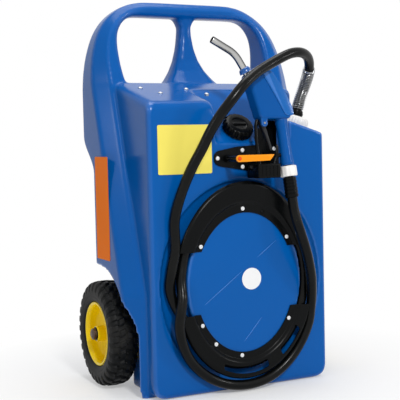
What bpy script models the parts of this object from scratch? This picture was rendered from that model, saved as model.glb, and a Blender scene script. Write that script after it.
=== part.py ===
"""Fluid transfer trolley: a blue moulded tank on two wheels with a pump, a hose wound on its front and a nozzle.

Metres, +Z up. The hose hub and the nozzle face -Y, the handle and the wheels are at +Y. The floor is Z = 0.
"""

import math

import bmesh
import bpy
import numpy as np
from mathutils import Matrix, Vector

# Overall
GAP = 0.0003
TOTAL_HEIGHT = 1.070
ORIGIN_SHIFT = 0.0253

# Tank body
FRONT_Y = -0.180
LOW_REAR_Y = 0.105
HANDLE_REAR_Y = 0.180
CORE_HALF_WIDTH = 0.264
BODY_HALF_WIDTH = 0.313
SHELF_FRONT_HEIGHT = 0.768
SHELF_HEIGHT = 0.834
SHELF_KNEE_Y = 0.055
OVERHANG_START = 0.585
OVERHANG_FULL = 0.690
FRONT_CORNER_RADIUS = 0.024
SHELF_EDGE_RADIUS = 0.026
FOOT_RADIUS = 0.028
WALL = 0.006

# Handle frame and side rails
RAIL_FOOT_Y = -0.135
RAIL_LEAN = 0.325
RAIL_LEAN_HEIGHT = 0.269
RAIL_CHAMFER = 0.040
BAR_CHAMFER = 0.016
BAR_THICKNESS = 0.043
EDGE_ROUND = 0.013
STEM_NECK = 0.018
STEM_FOOT = 0.085
STEM_FRONT_Y = 0.130

# Wheels and axle
TYRE_RADIUS = 0.145
TYRE_WIDTH = 0.085
TREAD_DEPTH = 0.006
TREAD_BLOCKS = 28
RIM_RADIUS = 0.088
HUB_RADIUS = 0.023
HUB_LENGTH = 0.070
BUSH_WALL = 0.003
AXLE_RADIUS = 0.010
AXLE_Y = 0.065
WHEEL_CENTRE_X = 0.2955
WHEEL_SIDE_PLAY = 0.0012
RUNNING_CLEARANCE = 0.0005
ARCH_RADIUS = 0.187
ARCH_INNER_X = 0.243
AXLE_BAY_Y = 0.020
AXLE_BAY_HEIGHT = 0.190
BRACKET_X = 0.190
BRACKET_WIDTH = 0.044

# Hose hub and channel on the front
HUB_HEIGHT = 0.292
HUB_A = 0.172
HUB_B = 0.205
HUB_PROUD = 0.016
CHANNEL_A = 0.240
CHANNEL_B = 0.270
CHANNEL_DEPTH = 0.010

# Hose guards
GUARD_INNER_A = 0.148
GUARD_INNER_B = 0.186
GUARD_OUTER_A = 0.206
UPPER_GUARD_OUTER_B = 0.267
LOWER_GUARD_OUTER_B = 0.255
GUARD_THICKNESS = 0.003
GUARD_RISE = 0.009
UPPER_SCREW_ANGLES = (92, 142, 42, 74)
LOWER_SCREW_ANGLES = (218, 239, 265, 320)

# Pocket for the filler cap and shoulder for the pump
POCKET_LEFT_X = -0.070
POCKET_RIGHT_X = 0.150
POCKET_FRONT_HEIGHT = 0.660
POCKET_SLOPE = math.radians(45)
FILLER_X = 0.009
FILLER_UP_SLOPE = 0.050
FILLER_BORE = 0.030
FILLER_CAP_RADIUS = 0.043
FILLER_CAP_HEIGHT = 0.028
SHOULDER_TILT = math.radians(18)
SHOULDER_BACK_Y = -0.010
PUMP_X = 0.2105
PUMP_Y = -0.105
PUMP_FACE_HEIGHT = 0.7015
PUMP_BORE = 0.024
PUMP_CAP_RADIUS = 0.040
PUMP_CAP_HEIGHT = 0.020
OUTLET_RADIUS = 0.0195
OUTLET_HEIGHT = 0.030

# Hose
HOSE_RADIUS = 0.0135
SPRING_WIRE = 0.0014
SPRING_CLEARANCE = 0.0009
SPRING_TURNS = 21
SPRING_LENGTH = 0.118
SPRING_POINTS = 8

# Nozzle, drawn upright in its own frame and then leaned back
NOZZLE_PIVOT = Vector((0.0, -0.232, 0.580))
NOZZLE_LEAN = math.radians(8)
SPOUT_RADIUS = 0.0095
SPOUT_WALL = 0.0012
BODY_THICKNESS = 0.044
COVER_THICKNESS = 0.050
GUARD_WIRE = 0.005
TRIGGER_THICKNESS = 0.014
TRIGGER_PIVOT = (0.0470, 0.7110)
TRIGGER_PIN_RADIUS = 0.0030
GRIP_TOP = (0.1080, 0.7218)
GRIP_FOOT = (0.1155, 0.5995)
NUT_RADIUS = 0.0230
NUT_LENGTH = 0.028
TAIL_RADIUS = 0.0180
TAIL_LENGTH = 0.055

# Nozzle holder
PLATE_THICKNESS = 0.004
CRADLE_LEFT = 0.016
CRADLE_RIGHT = 0.084
CRADLE_BOTTOM = 0.568
CRADLE_TOP = 0.606
CRADLE_DEPTH = 0.065
CRADLE_WALL = 0.003
LATCH_PIVOT = (-0.044, 0.621)
LATCH_LENGTH = 0.104
LATCH_HEIGHT = 0.018
LATCH_THICKNESS = 0.005
LATCH_PIN_RADIUS = 0.003
LATCH_BOSS_RADIUS = 0.008

# Small parts
SCREW_HEAD_RADIUS = 0.0055
SCREW_HEAD_HEIGHT = 0.003
SCREW_SHANK_RADIUS = 0.0022
SCREW_DEPTH = 0.008
LABEL_THICKNESS = 0.0008

BLUE = (0.010, 0.105, 0.400, 1)
BLACK = (0.015, 0.015, 0.016, 1)
PARTS = bpy.data.collections.new("fluid_transfer_trolley")
CUTTERS = bpy.data.collections.new("cutters")


def clear_scene():
    """Empty the file without closing it."""
    for obj in list(bpy.data.objects):
        bpy.data.objects.remove(obj, do_unlink=True)
    bpy.context.scene.collection.children.link(PARTS)
    bpy.context.scene.collection.children.link(CUTTERS)
    CUTTERS.hide_render = True


def material(name, colour, roughness, metallic=0.0):
    """One Principled material, made once."""
    found = bpy.data.materials.get(name)
    if found:
        return found
    made = bpy.data.materials.new(name)
    made.use_nodes = True
    shader = made.node_tree.nodes["Principled BSDF"]
    shader.inputs["Base Color"].default_value = colour
    shader.inputs["Roughness"].default_value = roughness
    shader.inputs["Metallic"].default_value = metallic
    return made


def finish_part(obj, stuff, smooth=True):
    """Put a finished object in the collection with its material."""
    for old in list(obj.users_collection):
        old.objects.unlink(obj)
    PARTS.objects.link(obj)
    obj.data.materials.clear()
    obj.data.materials.append(stuff)
    if smooth:
        obj.data.shade_smooth()
        obj.data.set_sharp_from_angle(angle=math.radians(35))
    return obj


def faces_out(work):
    """Turn all faces of a closed shape outwards."""
    work.normal_update()
    bmesh.ops.recalc_face_normals(work, faces=work.faces)
    if work.calc_volume(signed=True) < 0:
        bmesh.ops.reverse_faces(work, faces=work.faces)


def mesh_object(name, work):
    """An object from a bmesh, with its faces out."""
    faces_out(work)
    mesh = bpy.data.meshes.new(name)
    work.to_mesh(mesh)
    work.free()
    obj = bpy.data.objects.new(name, mesh)
    CUTTERS.objects.link(obj)
    return obj


def settle(obj):
    """Replace an object's mesh by what its modifiers make of it."""
    bpy.context.view_layer.update()
    graph = bpy.context.evaluated_depsgraph_get()
    mesh = bpy.data.meshes.new_from_object(obj.evaluated_get(graph))
    obj.modifiers.clear()
    obj.data = mesh
    return obj


def combine(obj, other, operation):
    """Join, cut or intersect with another object, which is used up."""
    step = obj.modifiers.new("combine", "BOOLEAN")
    step.operation = operation
    step.object = other
    step.solver = "EXACT"
    settle(obj)
    bpy.data.objects.remove(other, do_unlink=True)
    return obj


def round_edges(obj, width, segments, angle=30, chosen=None):
    """Bevel the sharp edges, or with chosen, a function of an edge that gives its share of the width."""
    if chosen:
        work = bmesh.new()
        work.from_mesh(obj.data)
        weights = work.edges.layers.float.new("bevel_weight_edge")
        for edge in work.edges:
            edge[weights] = chosen(edge)
        work.to_mesh(obj.data)
        work.free()
    step = obj.modifiers.new("round", "BEVEL")
    step.width = width
    step.segments = segments
    step.limit_method = "WEIGHT" if chosen else "ANGLE"
    step.angle_limit = math.radians(angle)
    step.use_clamp_overlap = True
    return settle(obj)


def from_curve(curve, name):
    """A mesh object from a curve, with its caps welded."""
    holder = bpy.data.objects.new(name, curve)
    CUTTERS.objects.link(holder)
    bpy.context.view_layer.update()
    graph = bpy.context.evaluated_depsgraph_get()
    mesh = bpy.data.meshes.new_from_object(holder.evaluated_get(graph))
    bpy.data.objects.remove(holder, do_unlink=True)
    work = bmesh.new()
    work.from_mesh(mesh)
    bmesh.ops.remove_doubles(work, verts=work.verts, dist=1e-6)
    return mesh_object(name, work)


def flat_piece(name, outlines, low, high, plane="XZ", dissolve=True):
    """A flat outline, given as lists of points, made solid from low to high along the plane's normal."""
    curve = bpy.data.curves.new(name, "CURVE")
    curve.dimensions = "2D"
    curve.fill_mode = "BOTH"
    curve.extrude = (high - low) / 2
    for outline in outlines:
        spline = curve.splines.new("POLY")
        spline.points.add(len(outline) - 1)
        for point, (across, up) in zip(spline.points, outline):
            point.co = (across, up, 0, 1)
        spline.use_cyclic_u = True
    obj = from_curve(curve, name)
    work = bmesh.new()
    work.from_mesh(obj.data)
    if dissolve:
        bmesh.ops.dissolve_limit(work, angle_limit=math.radians(0.5), verts=work.verts, edges=work.edges)
    middle = (low + high) / 2
    for vert in work.verts:
        across, up, along = vert.co
        if plane == "XZ":
            vert.co = (across, along + middle, up)
        elif plane == "YZ":
            vert.co = (along + middle, across, up)
        else:
            vert.co = (across, up, along + middle)
    faces_out(work)
    work.to_mesh(obj.data)
    work.free()
    return obj


def box(name, low, high):
    """A box between two corners."""
    work = bmesh.new()
    bmesh.ops.create_cube(work, size=1)
    for vert in work.verts:
        vert.co = [low[i] + (high[i] - low[i]) * (vert.co[i] + 0.5) for i in range(3)]
    return mesh_object(name, work)


def turned(name, profile, origin, direction=(0, 0, 1), steps=32):
    """A round piece: a profile of (radius, distance) points, screwed round the axis from origin along direction."""
    work = bmesh.new()
    points = [work.verts.new((radius, 0, along)) for radius, along in profile]
    closed = profile[0][0] > 0 and profile[-1][0] > 0
    for first, second in zip(points, points[1:]):
        work.edges.new((first, second))
    if closed:
        work.edges.new((points[-1], points[0]))
    mesh = bpy.data.meshes.new(name)
    work.to_mesh(mesh)
    work.free()
    obj = bpy.data.objects.new(name, mesh)
    CUTTERS.objects.link(obj)
    step = obj.modifiers.new("turn", "SCREW")
    step.steps = steps
    step.render_steps = steps
    step.use_merge_vertices = True
    step.merge_threshold = 0.00001
    settle(obj)
    work = bmesh.new()
    work.from_mesh(obj.data)
    bmesh.ops.remove_doubles(work, verts=work.verts, dist=1e-6)
    faces_out(work)
    turn = Vector((0, 0, 1)).rotation_difference(Vector(direction).normalized()).to_matrix().to_4x4()
    work.transform(Matrix.Translation(origin) @ turn)
    work.to_mesh(obj.data)
    work.free()
    return obj


def rod(name, start, end, radius, steps=20):
    """A plain round bar between two points."""
    axis = Vector(end) - Vector(start)
    return turned(name, [(0, axis.length), (radius, axis.length), (radius, 0), (0, 0)], start, axis, steps)


def loft(name, rings):
    """A closed solid through rings of points, all of the same count."""
    work = bmesh.new()
    rows = [[work.verts.new(point) for point in ring] for ring in rings]
    count = len(rows[0])
    for first, second in zip(rows, rows[1:]):
        for i in range(count):
            j = (i + 1) % count
            work.faces.new((first[i], first[j], second[j], second[i]))
    work.faces.new(rows[0])
    work.faces.new(rows[-1])
    return mesh_object(name, work)


def tube(name, points, radius, resolution=2):
    """A round bar along points, with filled ends."""
    curve = bpy.data.curves.new(name, "CURVE")
    curve.dimensions = "3D"
    curve.bevel_depth = radius
    curve.bevel_resolution = resolution
    curve.use_fill_caps = True
    spline = curve.splines.new("POLY")
    spline.points.add(len(points) - 1)
    for point, place in zip(spline.points, points):
        point.co = (*place, 1)
    return from_curve(curve, name)


def smooth_route(points, spacing, straight=0.0):
    """Evenly spaced points on a centripetal Catmull-Rom curve through the given points, its ends left straight."""
    given = [Vector(point) for point in points]
    given = [2 * given[0] - given[1], *given, 2 * given[-1] - given[-2]]
    dense = []
    for a, b, c, d in zip(given, given[1:], given[2:], given[3:]):
        knots = [0.0]
        for first, second in ((a, b), (b, c), (c, d)):
            knots.append(knots[-1] + math.sqrt((second - first).length))
        for step in range(24):
            t = knots[1] + (knots[2] - knots[1]) * step / 24
            low = [a.lerp(b, t / knots[1]),
                   b.lerp(c, (t - knots[1]) / (knots[2] - knots[1])),
                   c.lerp(d, (t - knots[2]) / (knots[3] - knots[2]))]
            mid = [low[0].lerp(low[1], t / knots[2]),
                   low[1].lerp(low[2], (t - knots[1]) / (knots[3] - knots[1]))]
            dense.append(mid[0].lerp(mid[1], (t - knots[1]) / (knots[2] - knots[1])))
    dense.append(given[-2].copy())
    lengths = [0.0]
    for first, second in zip(dense, dense[1:]):
        lengths.append(lengths[-1] + (second - first).length)
    count = max(2, round((lengths[-1] - 2 * straight) / spacing) + 1)
    wanted = np.linspace(straight, lengths[-1] - straight, count)
    if straight:
        wanted = [0.0, *wanted, lengths[-1]]
    columns = [np.interp(wanted, lengths, [point[i] for point in dense]) for i in range(3)]
    return [Vector(point) for point in zip(*columns)], lengths[-1]


def on_line(points, distance):
    """A place on a line of points, with the line's smoothed direction and its own direction there."""
    steps = [(second - first).length for first, second in zip(points, points[1:])]
    ways = [(second - first).normalized() for first, second in zip(points, points[1:])]
    i = 0
    while i < len(steps) - 1 and distance > steps[i]:
        distance -= steps[i]
        i += 1
    share = distance / steps[i]
    other = max(0, i - 1) if share < 0.5 else min(len(ways) - 1, i + 1)
    smooth_way = ways[i].lerp(ways[other], abs(share - 0.5)).normalized()
    return points[i].lerp(points[i + 1], share), smooth_way, ways[i]


def ellipse(half_width, half_height, centre_height, count=48):
    """Points of an upright ellipse round the hub's centre."""
    turns = [2 * math.pi * i / count for i in range(count)]
    return [(half_width * math.cos(t), centre_height + half_height * math.sin(t)) for t in turns]


def ellipse_radius(half_width, half_height, angle):
    """Distance from an ellipse's centre to its edge in a direction."""
    return 1 / math.hypot(math.cos(angle) / half_width, math.sin(angle) / half_height)


def rail_front(height):
    """The leaning front edge of the side rails and the handle frame."""
    return RAIL_FOOT_Y + max(0.0, RAIL_LEAN * (height - RAIL_LEAN_HEIGHT))


def rear(height):
    """The rear face: low wall, then a soft sweep back to the handle."""
    share = (height - OVERHANG_START) / (OVERHANG_FULL - OVERHANG_START)
    share = min(1.0, max(0.0, share))
    return LOW_REAR_Y + (HANDLE_REAR_Y - LOW_REAR_Y) * (1 - math.cos(math.pi * share)) / 2


def handle_stations():
    """Pairs of an outer and an inner point of the handle frame in the XZ plane, from the left foot to the middle."""
    half = BODY_HALF_WIDTH
    top = TOTAL_HEIGHT
    window_top = TOTAL_HEIGHT - BAR_THICKNESS
    rows = [
        ((half - 0.006, 0.000), (0.200, 0.000)),
        ((half, 0.020), (0.200, 0.020)),
        ((half, RAIL_LEAN_HEIGHT), (0.200, RAIL_LEAN_HEIGHT)),
        ((half, 0.420), (0.200, 0.420)),
        ((half, OVERHANG_START), (0.200, OVERHANG_START)),
        ((half, 0.620), (0.200, 0.620)),
        ((half, 0.655), (0.200, 0.655)),
        ((half, OVERHANG_FULL), (0.200, OVERHANG_FULL)),
        ((half, 0.800), (0.205, 0.800)),
        ((half - 0.0005, SHELF_HEIGHT), (0.222, SHELF_HEIGHT)),
        ((half - 0.004, 0.870), (0.229, 0.870)),
        ((half - 0.010, 0.905), (0.2315, 0.905)),
        ((half - 0.021, 0.945), (0.231, 0.940)),
        ((half - 0.037, 0.982), (0.226, 0.971)),
        ((half - 0.060, 1.014), (0.214, 0.996)),
        ((half - 0.091, top - 0.030), (0.196, 1.015)),
        ((half - 0.128, top - 0.011), (0.172, window_top - 0.002)),
        ((half - 0.167, top - 0.002), (0.142, window_top)),
        ((0.090, top), (0.090, window_top)),
        ((0.045, top), (0.045, window_top)),
    ]
    return rows


def handle_section(outer, inner, side):
    """One ring of the frame: chamfered at its outer front edge and rounded at the others."""
    outer_x, outer_z = outer
    inner_x, inner_z = inner
    height = (outer_z + inner_z) / 2
    front, back = rail_front(height), rear(height)
    share = min(1.0, max(0.0, (height - SHELF_HEIGHT) / (TOTAL_HEIGHT - BAR_THICKNESS / 2 - SHELF_HEIGHT)))
    chamfer = RAIL_CHAMFER + (BAR_CHAMFER - RAIL_CHAMFER) * share
    across = math.hypot(inner_x - outer_x, inner_z - outer_z)
    r = EDGE_ROUND
    soft = 0.30
    corner = [(0, chamfer + 0.006), (0.0015, chamfer), (chamfer, 0.0015), (chamfer + 0.006, 0)]
    ring = corner[:]
    ring += [(across - r, 0), (across - r * soft, r * soft), (across, r)]
    ring += [(across, back - front - r), (across - r * soft, back - front - r * soft), (across - r, back - front)]
    ring += [(r, back - front), (r * soft, back - front - r * soft), (0, back - front - r)]
    points = []
    for inward, deep in ring:
        share = inward / across
        x = outer_x + (inner_x - outer_x) * share
        z = outer_z + (inner_z - outer_z) * share
        points.append((side * x, front + deep, z))
    return points


def handle_frame():
    """The two side rails, the uprights and the top bar as one loft."""
    rows = handle_stations()
    rings = [handle_section(outer, inner, -1) for outer, inner in rows]
    rings += [handle_section(outer, inner, 1) for outer, inner in reversed(rows)]
    return loft("frame", rings)


def stem():
    """The flared stem between the shelf and the top bar."""
    window_top = TOTAL_HEIGHT - BAR_THICKNESS
    rows = [
        (SHELF_HEIGHT - 0.030, STEM_FOOT + 0.022, SHELF_KNEE_Y + 0.010),
        (SHELF_HEIGHT, STEM_FOOT, SHELF_KNEE_Y + 0.018),
        (0.850, 0.070, 0.086),
        (0.875, 0.052, 0.104),
        (0.905, 0.037, 0.118),
        (0.940, 0.026, STEM_FRONT_Y - 0.004),
        (0.975, STEM_NECK + 0.002, STEM_FRONT_Y),
        (1.003, STEM_NECK, STEM_FRONT_Y),
        (1.018, STEM_NECK + 0.008, STEM_FRONT_Y - 0.001),
        (window_top + 0.012, STEM_NECK + 0.026, STEM_FRONT_Y - 0.002),
    ]
    rings = []
    for height, half, front in rows:
        middle, deep = (front + HANDLE_REAR_Y - 0.002) / 2, (HANDLE_REAR_Y - 0.002 - front) / 2
        ring = []
        for i in range(16):
            turn = 2 * math.pi * (i + 0.5) / 16
            c, s = math.cos(turn), math.sin(turn)
            ring.append((half * math.copysign(abs(c) ** 0.6, c), middle + deep * math.copysign(abs(s) ** 0.6, s), height))
        rings.append(ring)
    return loft("stem", rings)


def core_outline(wall=0.0):
    """The tank's side view, drawn in by a wall."""
    sweep = [OVERHANG_FULL - (OVERHANG_FULL - OVERHANG_START) * i / 5 for i in range(6)]
    drop = wall * 0.3
    points = [(FRONT_Y + wall, wall), (FRONT_Y + wall, SHELF_FRONT_HEIGHT - wall - drop)]
    points += [(SHELF_KNEE_Y, SHELF_HEIGHT - wall), (HANDLE_REAR_Y - 0.001 - wall, SHELF_HEIGHT - wall)]
    points += [(rear(height) - 0.001 - wall, height + wall * 0.4) for height in sweep]
    points += [(LOW_REAR_Y - 0.001 - wall, AXLE_BAY_HEIGHT + wall), (AXLE_BAY_Y - wall, AXLE_BAY_HEIGHT + wall)]
    points += [(AXLE_BAY_Y - wall, wall)]
    return points


def pocket_cutter(wall=0.0):
    """Cuts the slope that carries the filler cap; a wall moves it further into the tank."""
    rise = math.tan(POCKET_SLOPE)
    drop = wall / math.cos(POCKET_SLOPE)
    start_y, start_z = FRONT_Y - 0.060, POCKET_FRONT_HEIGHT - 0.060 * rise - drop
    end_y = -0.030
    outline = [(start_y, start_z), (end_y, start_z + (end_y - start_y) * rise), (end_y, 1.0), (start_y, 1.0)]
    return flat_piece("pocket", [outline], POCKET_LEFT_X - wall, POCKET_RIGHT_X + 0.002 + wall, "YZ")


def shoulder_cutter(wall=0.0):
    """Cuts the sloping shoulder that carries the pump; its lower face is the pump's seat."""
    lean = math.tan(SHOULDER_TILT)
    left, right = POCKET_RIGHT_X - wall, BODY_HALF_WIDTH + 0.05
    drop = wall / math.cos(SHOULDER_TILT)

    def height(x):
        return PUMP_FACE_HEIGHT - (x - PUMP_X) * lean - drop

    outline = [(left, height(left)), (right, height(right)), (right, 1.0), (left, 1.0)]
    return flat_piece("shoulder", [outline], FRONT_Y - 0.06, SHOULDER_BACK_Y + wall, "XZ")


def arch_cutter(side, wall=0.0):
    """Cuts one wheel arch, open below and behind."""
    radius = ARCH_RADIUS + wall
    outline = [(AXLE_Y - radius, -0.02)]
    for i in range(15):
        turn = math.pi - math.pi / 2 * i / 14
        outline.append((AXLE_Y + radius * math.cos(turn), TYRE_RADIUS + radius * math.sin(turn)))
    outline += [(LOW_REAR_Y - 0.02, TYRE_RADIUS + radius), (LOW_REAR_Y + 0.006, TYRE_RADIUS + radius + 0.006)]
    outline += [(LOW_REAR_Y + 0.08, TYRE_RADIUS + radius + 0.03), (LOW_REAR_Y + 0.08, -0.02)]
    near, far = ARCH_INNER_X - wall, BODY_HALF_WIDTH + 0.05
    low, high = (near, far) if side > 0 else (-far, -near)
    return flat_piece("arch", [outline], low, high, "YZ")


def filler_point(out=0.0):
    """A point on the filler cap's axis, so far outside the slope."""
    along, rise = math.cos(POCKET_SLOPE), math.sin(POCKET_SLOPE)
    return Vector((FILLER_X, FRONT_Y + FILLER_UP_SLOPE * along - out * rise,
                   POCKET_FRONT_HEIGHT + FILLER_UP_SLOPE * rise + out * along))


def filler_axis():
    """The direction out of the filler neck."""
    return Vector((0, -math.sin(POCKET_SLOPE), math.cos(POCKET_SLOPE)))


def pump_axis():
    """The direction out of the pump neck."""
    return Vector((math.sin(SHOULDER_TILT), 0, math.cos(SHOULDER_TILT)))


def pump_point(out=0.0):
    """A point on the pump's axis, so far outside the shoulder."""
    return Vector((PUMP_X, PUMP_Y, PUMP_FACE_HEIGHT)) + pump_axis() * out


def across_guard(degrees, share, outer_b):
    """X and height of a point that lies so far across a guard, from its inner to its outer edge."""
    turn = math.radians(degrees)
    inner = ellipse_radius(GUARD_INNER_A, GUARD_INNER_B, turn)
    radius = inner + (ellipse_radius(GUARD_OUTER_A, outer_b, turn) - inner) * share
    return radius * math.cos(turn), HUB_HEIGHT + radius * math.sin(turn)


def guard_screw_places():
    """Where the guards are screwed to the hub: X and height, the upper guard's first."""
    upper = [across_guard(degrees, 0.13, UPPER_GUARD_OUTER_B) for degrees in UPPER_SCREW_ANGLES]
    return upper + [across_guard(degrees, 0.13, LOWER_GUARD_OUTER_B) for degrees in LOWER_SCREW_ANGLES]


def plate_screw_places():
    """Where the holder plate is screwed to the tank: X and height."""
    return [(-0.070, 0.622), (0.004, 0.642), (0.004, 0.598), (0.101, 0.644), (0.101, 0.586)]


def screw_hole(name, place, direction, depth, radius):
    """A cutter for a blind hole, from just outside a face to its depth."""
    direction = Vector(direction).normalized()
    start = Vector(place) + direction * 0.004
    return rod(name, start, Vector(place) - direction * depth, radius, 12)


def tank():
    """The moulded tank: core, handle frame, stem and hub joined, then arches, pocket, channel and cavity cut."""
    core = flat_piece("tank_body", [core_outline()], -CORE_HALF_WIDTH, CORE_HALF_WIDTH, "YZ")

    def core_share(edge):
        a, b = edge.verts[0].co, edge.verts[1].co
        upright = abs(a.z - b.z) > 0.3 and max(a.y, b.y) < FRONT_Y + 0.001
        if upright:
            return FRONT_CORNER_RADIUS / SHELF_EDGE_RADIUS
        if max(a.y, b.y) > SHELF_KNEE_Y + 0.001 and min(a.z, b.z) > AXLE_BAY_HEIGHT - 0.001:
            return 0.0
        if abs(a.x - b.x) > 0.1 and min(a.y, b.y) > FRONT_Y + 0.001:
            return 0.0
        if min(a.z, b.z) > AXLE_BAY_HEIGHT - 0.001 or max(a.y, b.y) < AXLE_BAY_Y - 0.001:
            return 1.0
        if max(a.z, b.z) < 0.001:
            return 1.0
        return 0.0

    round_edges(core, SHELF_EDGE_RADIUS, 4, chosen=core_share)
    hub_front = FRONT_Y - HUB_PROUD
    hub = flat_piece("hub", [ellipse(HUB_A, HUB_B, HUB_HEIGHT)], hub_front, FRONT_Y + 0.020, "XZ")

    def hub_share(edge):
        return 1.0 if max(edge.verts[0].co.y, edge.verts[1].co.y) < hub_front + 1e-4 else 0.0

    round_edges(hub, 0.005, 2, chosen=hub_share)
    combine(core, handle_frame(), "UNION")
    combine(core, stem(), "UNION")
    ring = flat_piece("channel", [ellipse(CHANNEL_A, CHANNEL_B, HUB_HEIGHT),
                                  ellipse(HUB_A - 0.004, HUB_B - 0.004, HUB_HEIGHT)],
                      FRONT_Y - 0.03, FRONT_Y + CHANNEL_DEPTH, "XZ")
    combine(core, ring, "DIFFERENCE")
    combine(core, hub, "UNION")
    combine(core, pocket_cutter(), "DIFFERENCE")
    combine(core, shoulder_cutter(), "DIFFERENCE")
    for side in (-1, 1):
        combine(core, arch_cutter(side), "DIFFERENCE")
    bay = box("axle_bay", (-ARCH_INNER_X - 0.002, AXLE_BAY_Y, -0.02), (ARCH_INNER_X + 0.002, LOW_REAR_Y + 0.02, AXLE_BAY_HEIGHT))
    combine(core, bay, "DIFFERENCE")
    combine(core, cavity(), "DIFFERENCE")
    neck = rod("neck", filler_point(0.03), filler_point(-0.03), FILLER_BORE, 24)
    combine(core, neck, "DIFFERENCE")
    neck = rod("neck", pump_point(0.03), pump_point(-0.02), PUMP_BORE, 24)
    combine(core, neck, "DIFFERENCE")
    for x, z in guard_screw_places():
        hole = screw_hole("hole", (x, hub_front, z), (0, -1, 0), SCREW_DEPTH + GAP, SCREW_SHANK_RADIUS + GAP)
        combine(core, hole, "DIFFERENCE")
    for x, z in plate_screw_places():
        depth = WALL - 0.0014
        hole = screw_hole("hole", (x, FRONT_Y, z), (0, -1, 0), depth, SCREW_SHANK_RADIUS + GAP)
        combine(core, hole, "DIFFERENCE")
    return finish_part(core, material("blue_tank", BLUE, 0.38))


def cavity():
    """The hollow inside the tank, a wall in from every outer face."""
    half = CORE_HALF_WIDTH - WALL
    hollow = flat_piece("cavity", [core_outline(WALL)], -half, half, "YZ")

    def share(edge):
        a, b = edge.verts[0].co, edge.verts[1].co
        return 1.0 if max(a.y, b.y) < FRONT_Y + WALL + 0.001 or max(a.z, b.z) < WALL + 0.001 else 0.0

    round_edges(hollow, FRONT_CORNER_RADIUS - WALL * 0.6, 2, chosen=share)
    channel = flat_piece("channel_wall", [ellipse(CHANNEL_A + WALL, CHANNEL_B + WALL, HUB_HEIGHT, 40)],
                         FRONT_Y - 0.03, FRONT_Y + CHANNEL_DEPTH + WALL, "XZ")
    combine(hollow, channel, "DIFFERENCE")
    combine(hollow, pocket_cutter(WALL), "DIFFERENCE")
    combine(hollow, shoulder_cutter(WALL), "DIFFERENCE")
    for side in (-1, 1):
        combine(hollow, arch_cutter(side, WALL), "DIFFERENCE")
    return hollow


def guard(name, outer_b, start, end, slots, screws):
    """A hose guard: a band that is screwed to the hub and rises outward over the channel, with a rolled lip."""
    base = FRONT_Y - HUB_PROUD - GAP
    t = GUARD_THICKNESS
    profile = [(0.00, 0.000), (0.26, 0.000), (0.46, GUARD_RISE), (0.90, GUARD_RISE), (1.00, GUARD_RISE - 0.006),
               (1.00, GUARD_RISE - 0.002 + t * 0.6), (0.90, GUARD_RISE + t), (0.42, GUARD_RISE + t),
               (0.24, t), (0.00, t)]
    count = 28
    rings = []
    for i in range(count + 1):
        turn = start + (end - start) * i / count
        inner = ellipse_radius(GUARD_INNER_A, GUARD_INNER_B, turn)
        near_end = max(0.0, 1 - min(i, count - i) / 4)
        outer = ellipse_radius(GUARD_OUTER_A, outer_b, turn) - 0.014 * near_end ** 2
        ring = []
        for share, out in profile:
            radius = inner + (outer - inner) * share
            ring.append((radius * math.cos(turn), base - out, HUB_HEIGHT + radius * math.sin(turn)))
        rings.append(ring)
    band = loft(name, rings)
    for first, last, low, high in slots:
        path, back = [], []
        for i in range(9):
            degrees = first + (last - first) * i / 8
            path.append(across_guard(degrees, low, outer_b))
            back.append(across_guard(degrees, high, outer_b))
        slot = flat_piece("slot", [path + back[::-1]], base - 0.03, base + 0.01, "XZ")
        combine(band, slot, "DIFFERENCE")
    for x, z in screws:
        hole = rod("hole", (x, base + 0.002, z), (x, base - t - 0.002, z), SCREW_SHANK_RADIUS + GAP, 12)
        combine(band, hole, "DIFFERENCE")
    return finish_part(band, material("black_plastic", BLACK, 0.42))


def screw_set(name, places, base, stuff, depth):
    """Identical screws with domed heads, each its own object on the same mesh."""
    profile = [(0, SCREW_HEAD_HEIGHT), (SCREW_HEAD_RADIUS * 0.6, SCREW_HEAD_HEIGHT * 0.88),
               (SCREW_HEAD_RADIUS, SCREW_HEAD_HEIGHT * 0.4), (SCREW_HEAD_RADIUS, GAP),
               (SCREW_SHANK_RADIUS, GAP), (SCREW_SHANK_RADIUS, -depth), (0, -depth)]
    first = turned(f"{name}_1", profile, (0, 0, 0), (0, -1, 0), 10)
    for i, (x, z) in enumerate(places):
        screw = first if i == 0 else bpy.data.objects.new(f"{name}_{i + 1}", first.data)
        screw.location = (x, base, z)
        finish_part(screw, stuff)


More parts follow.
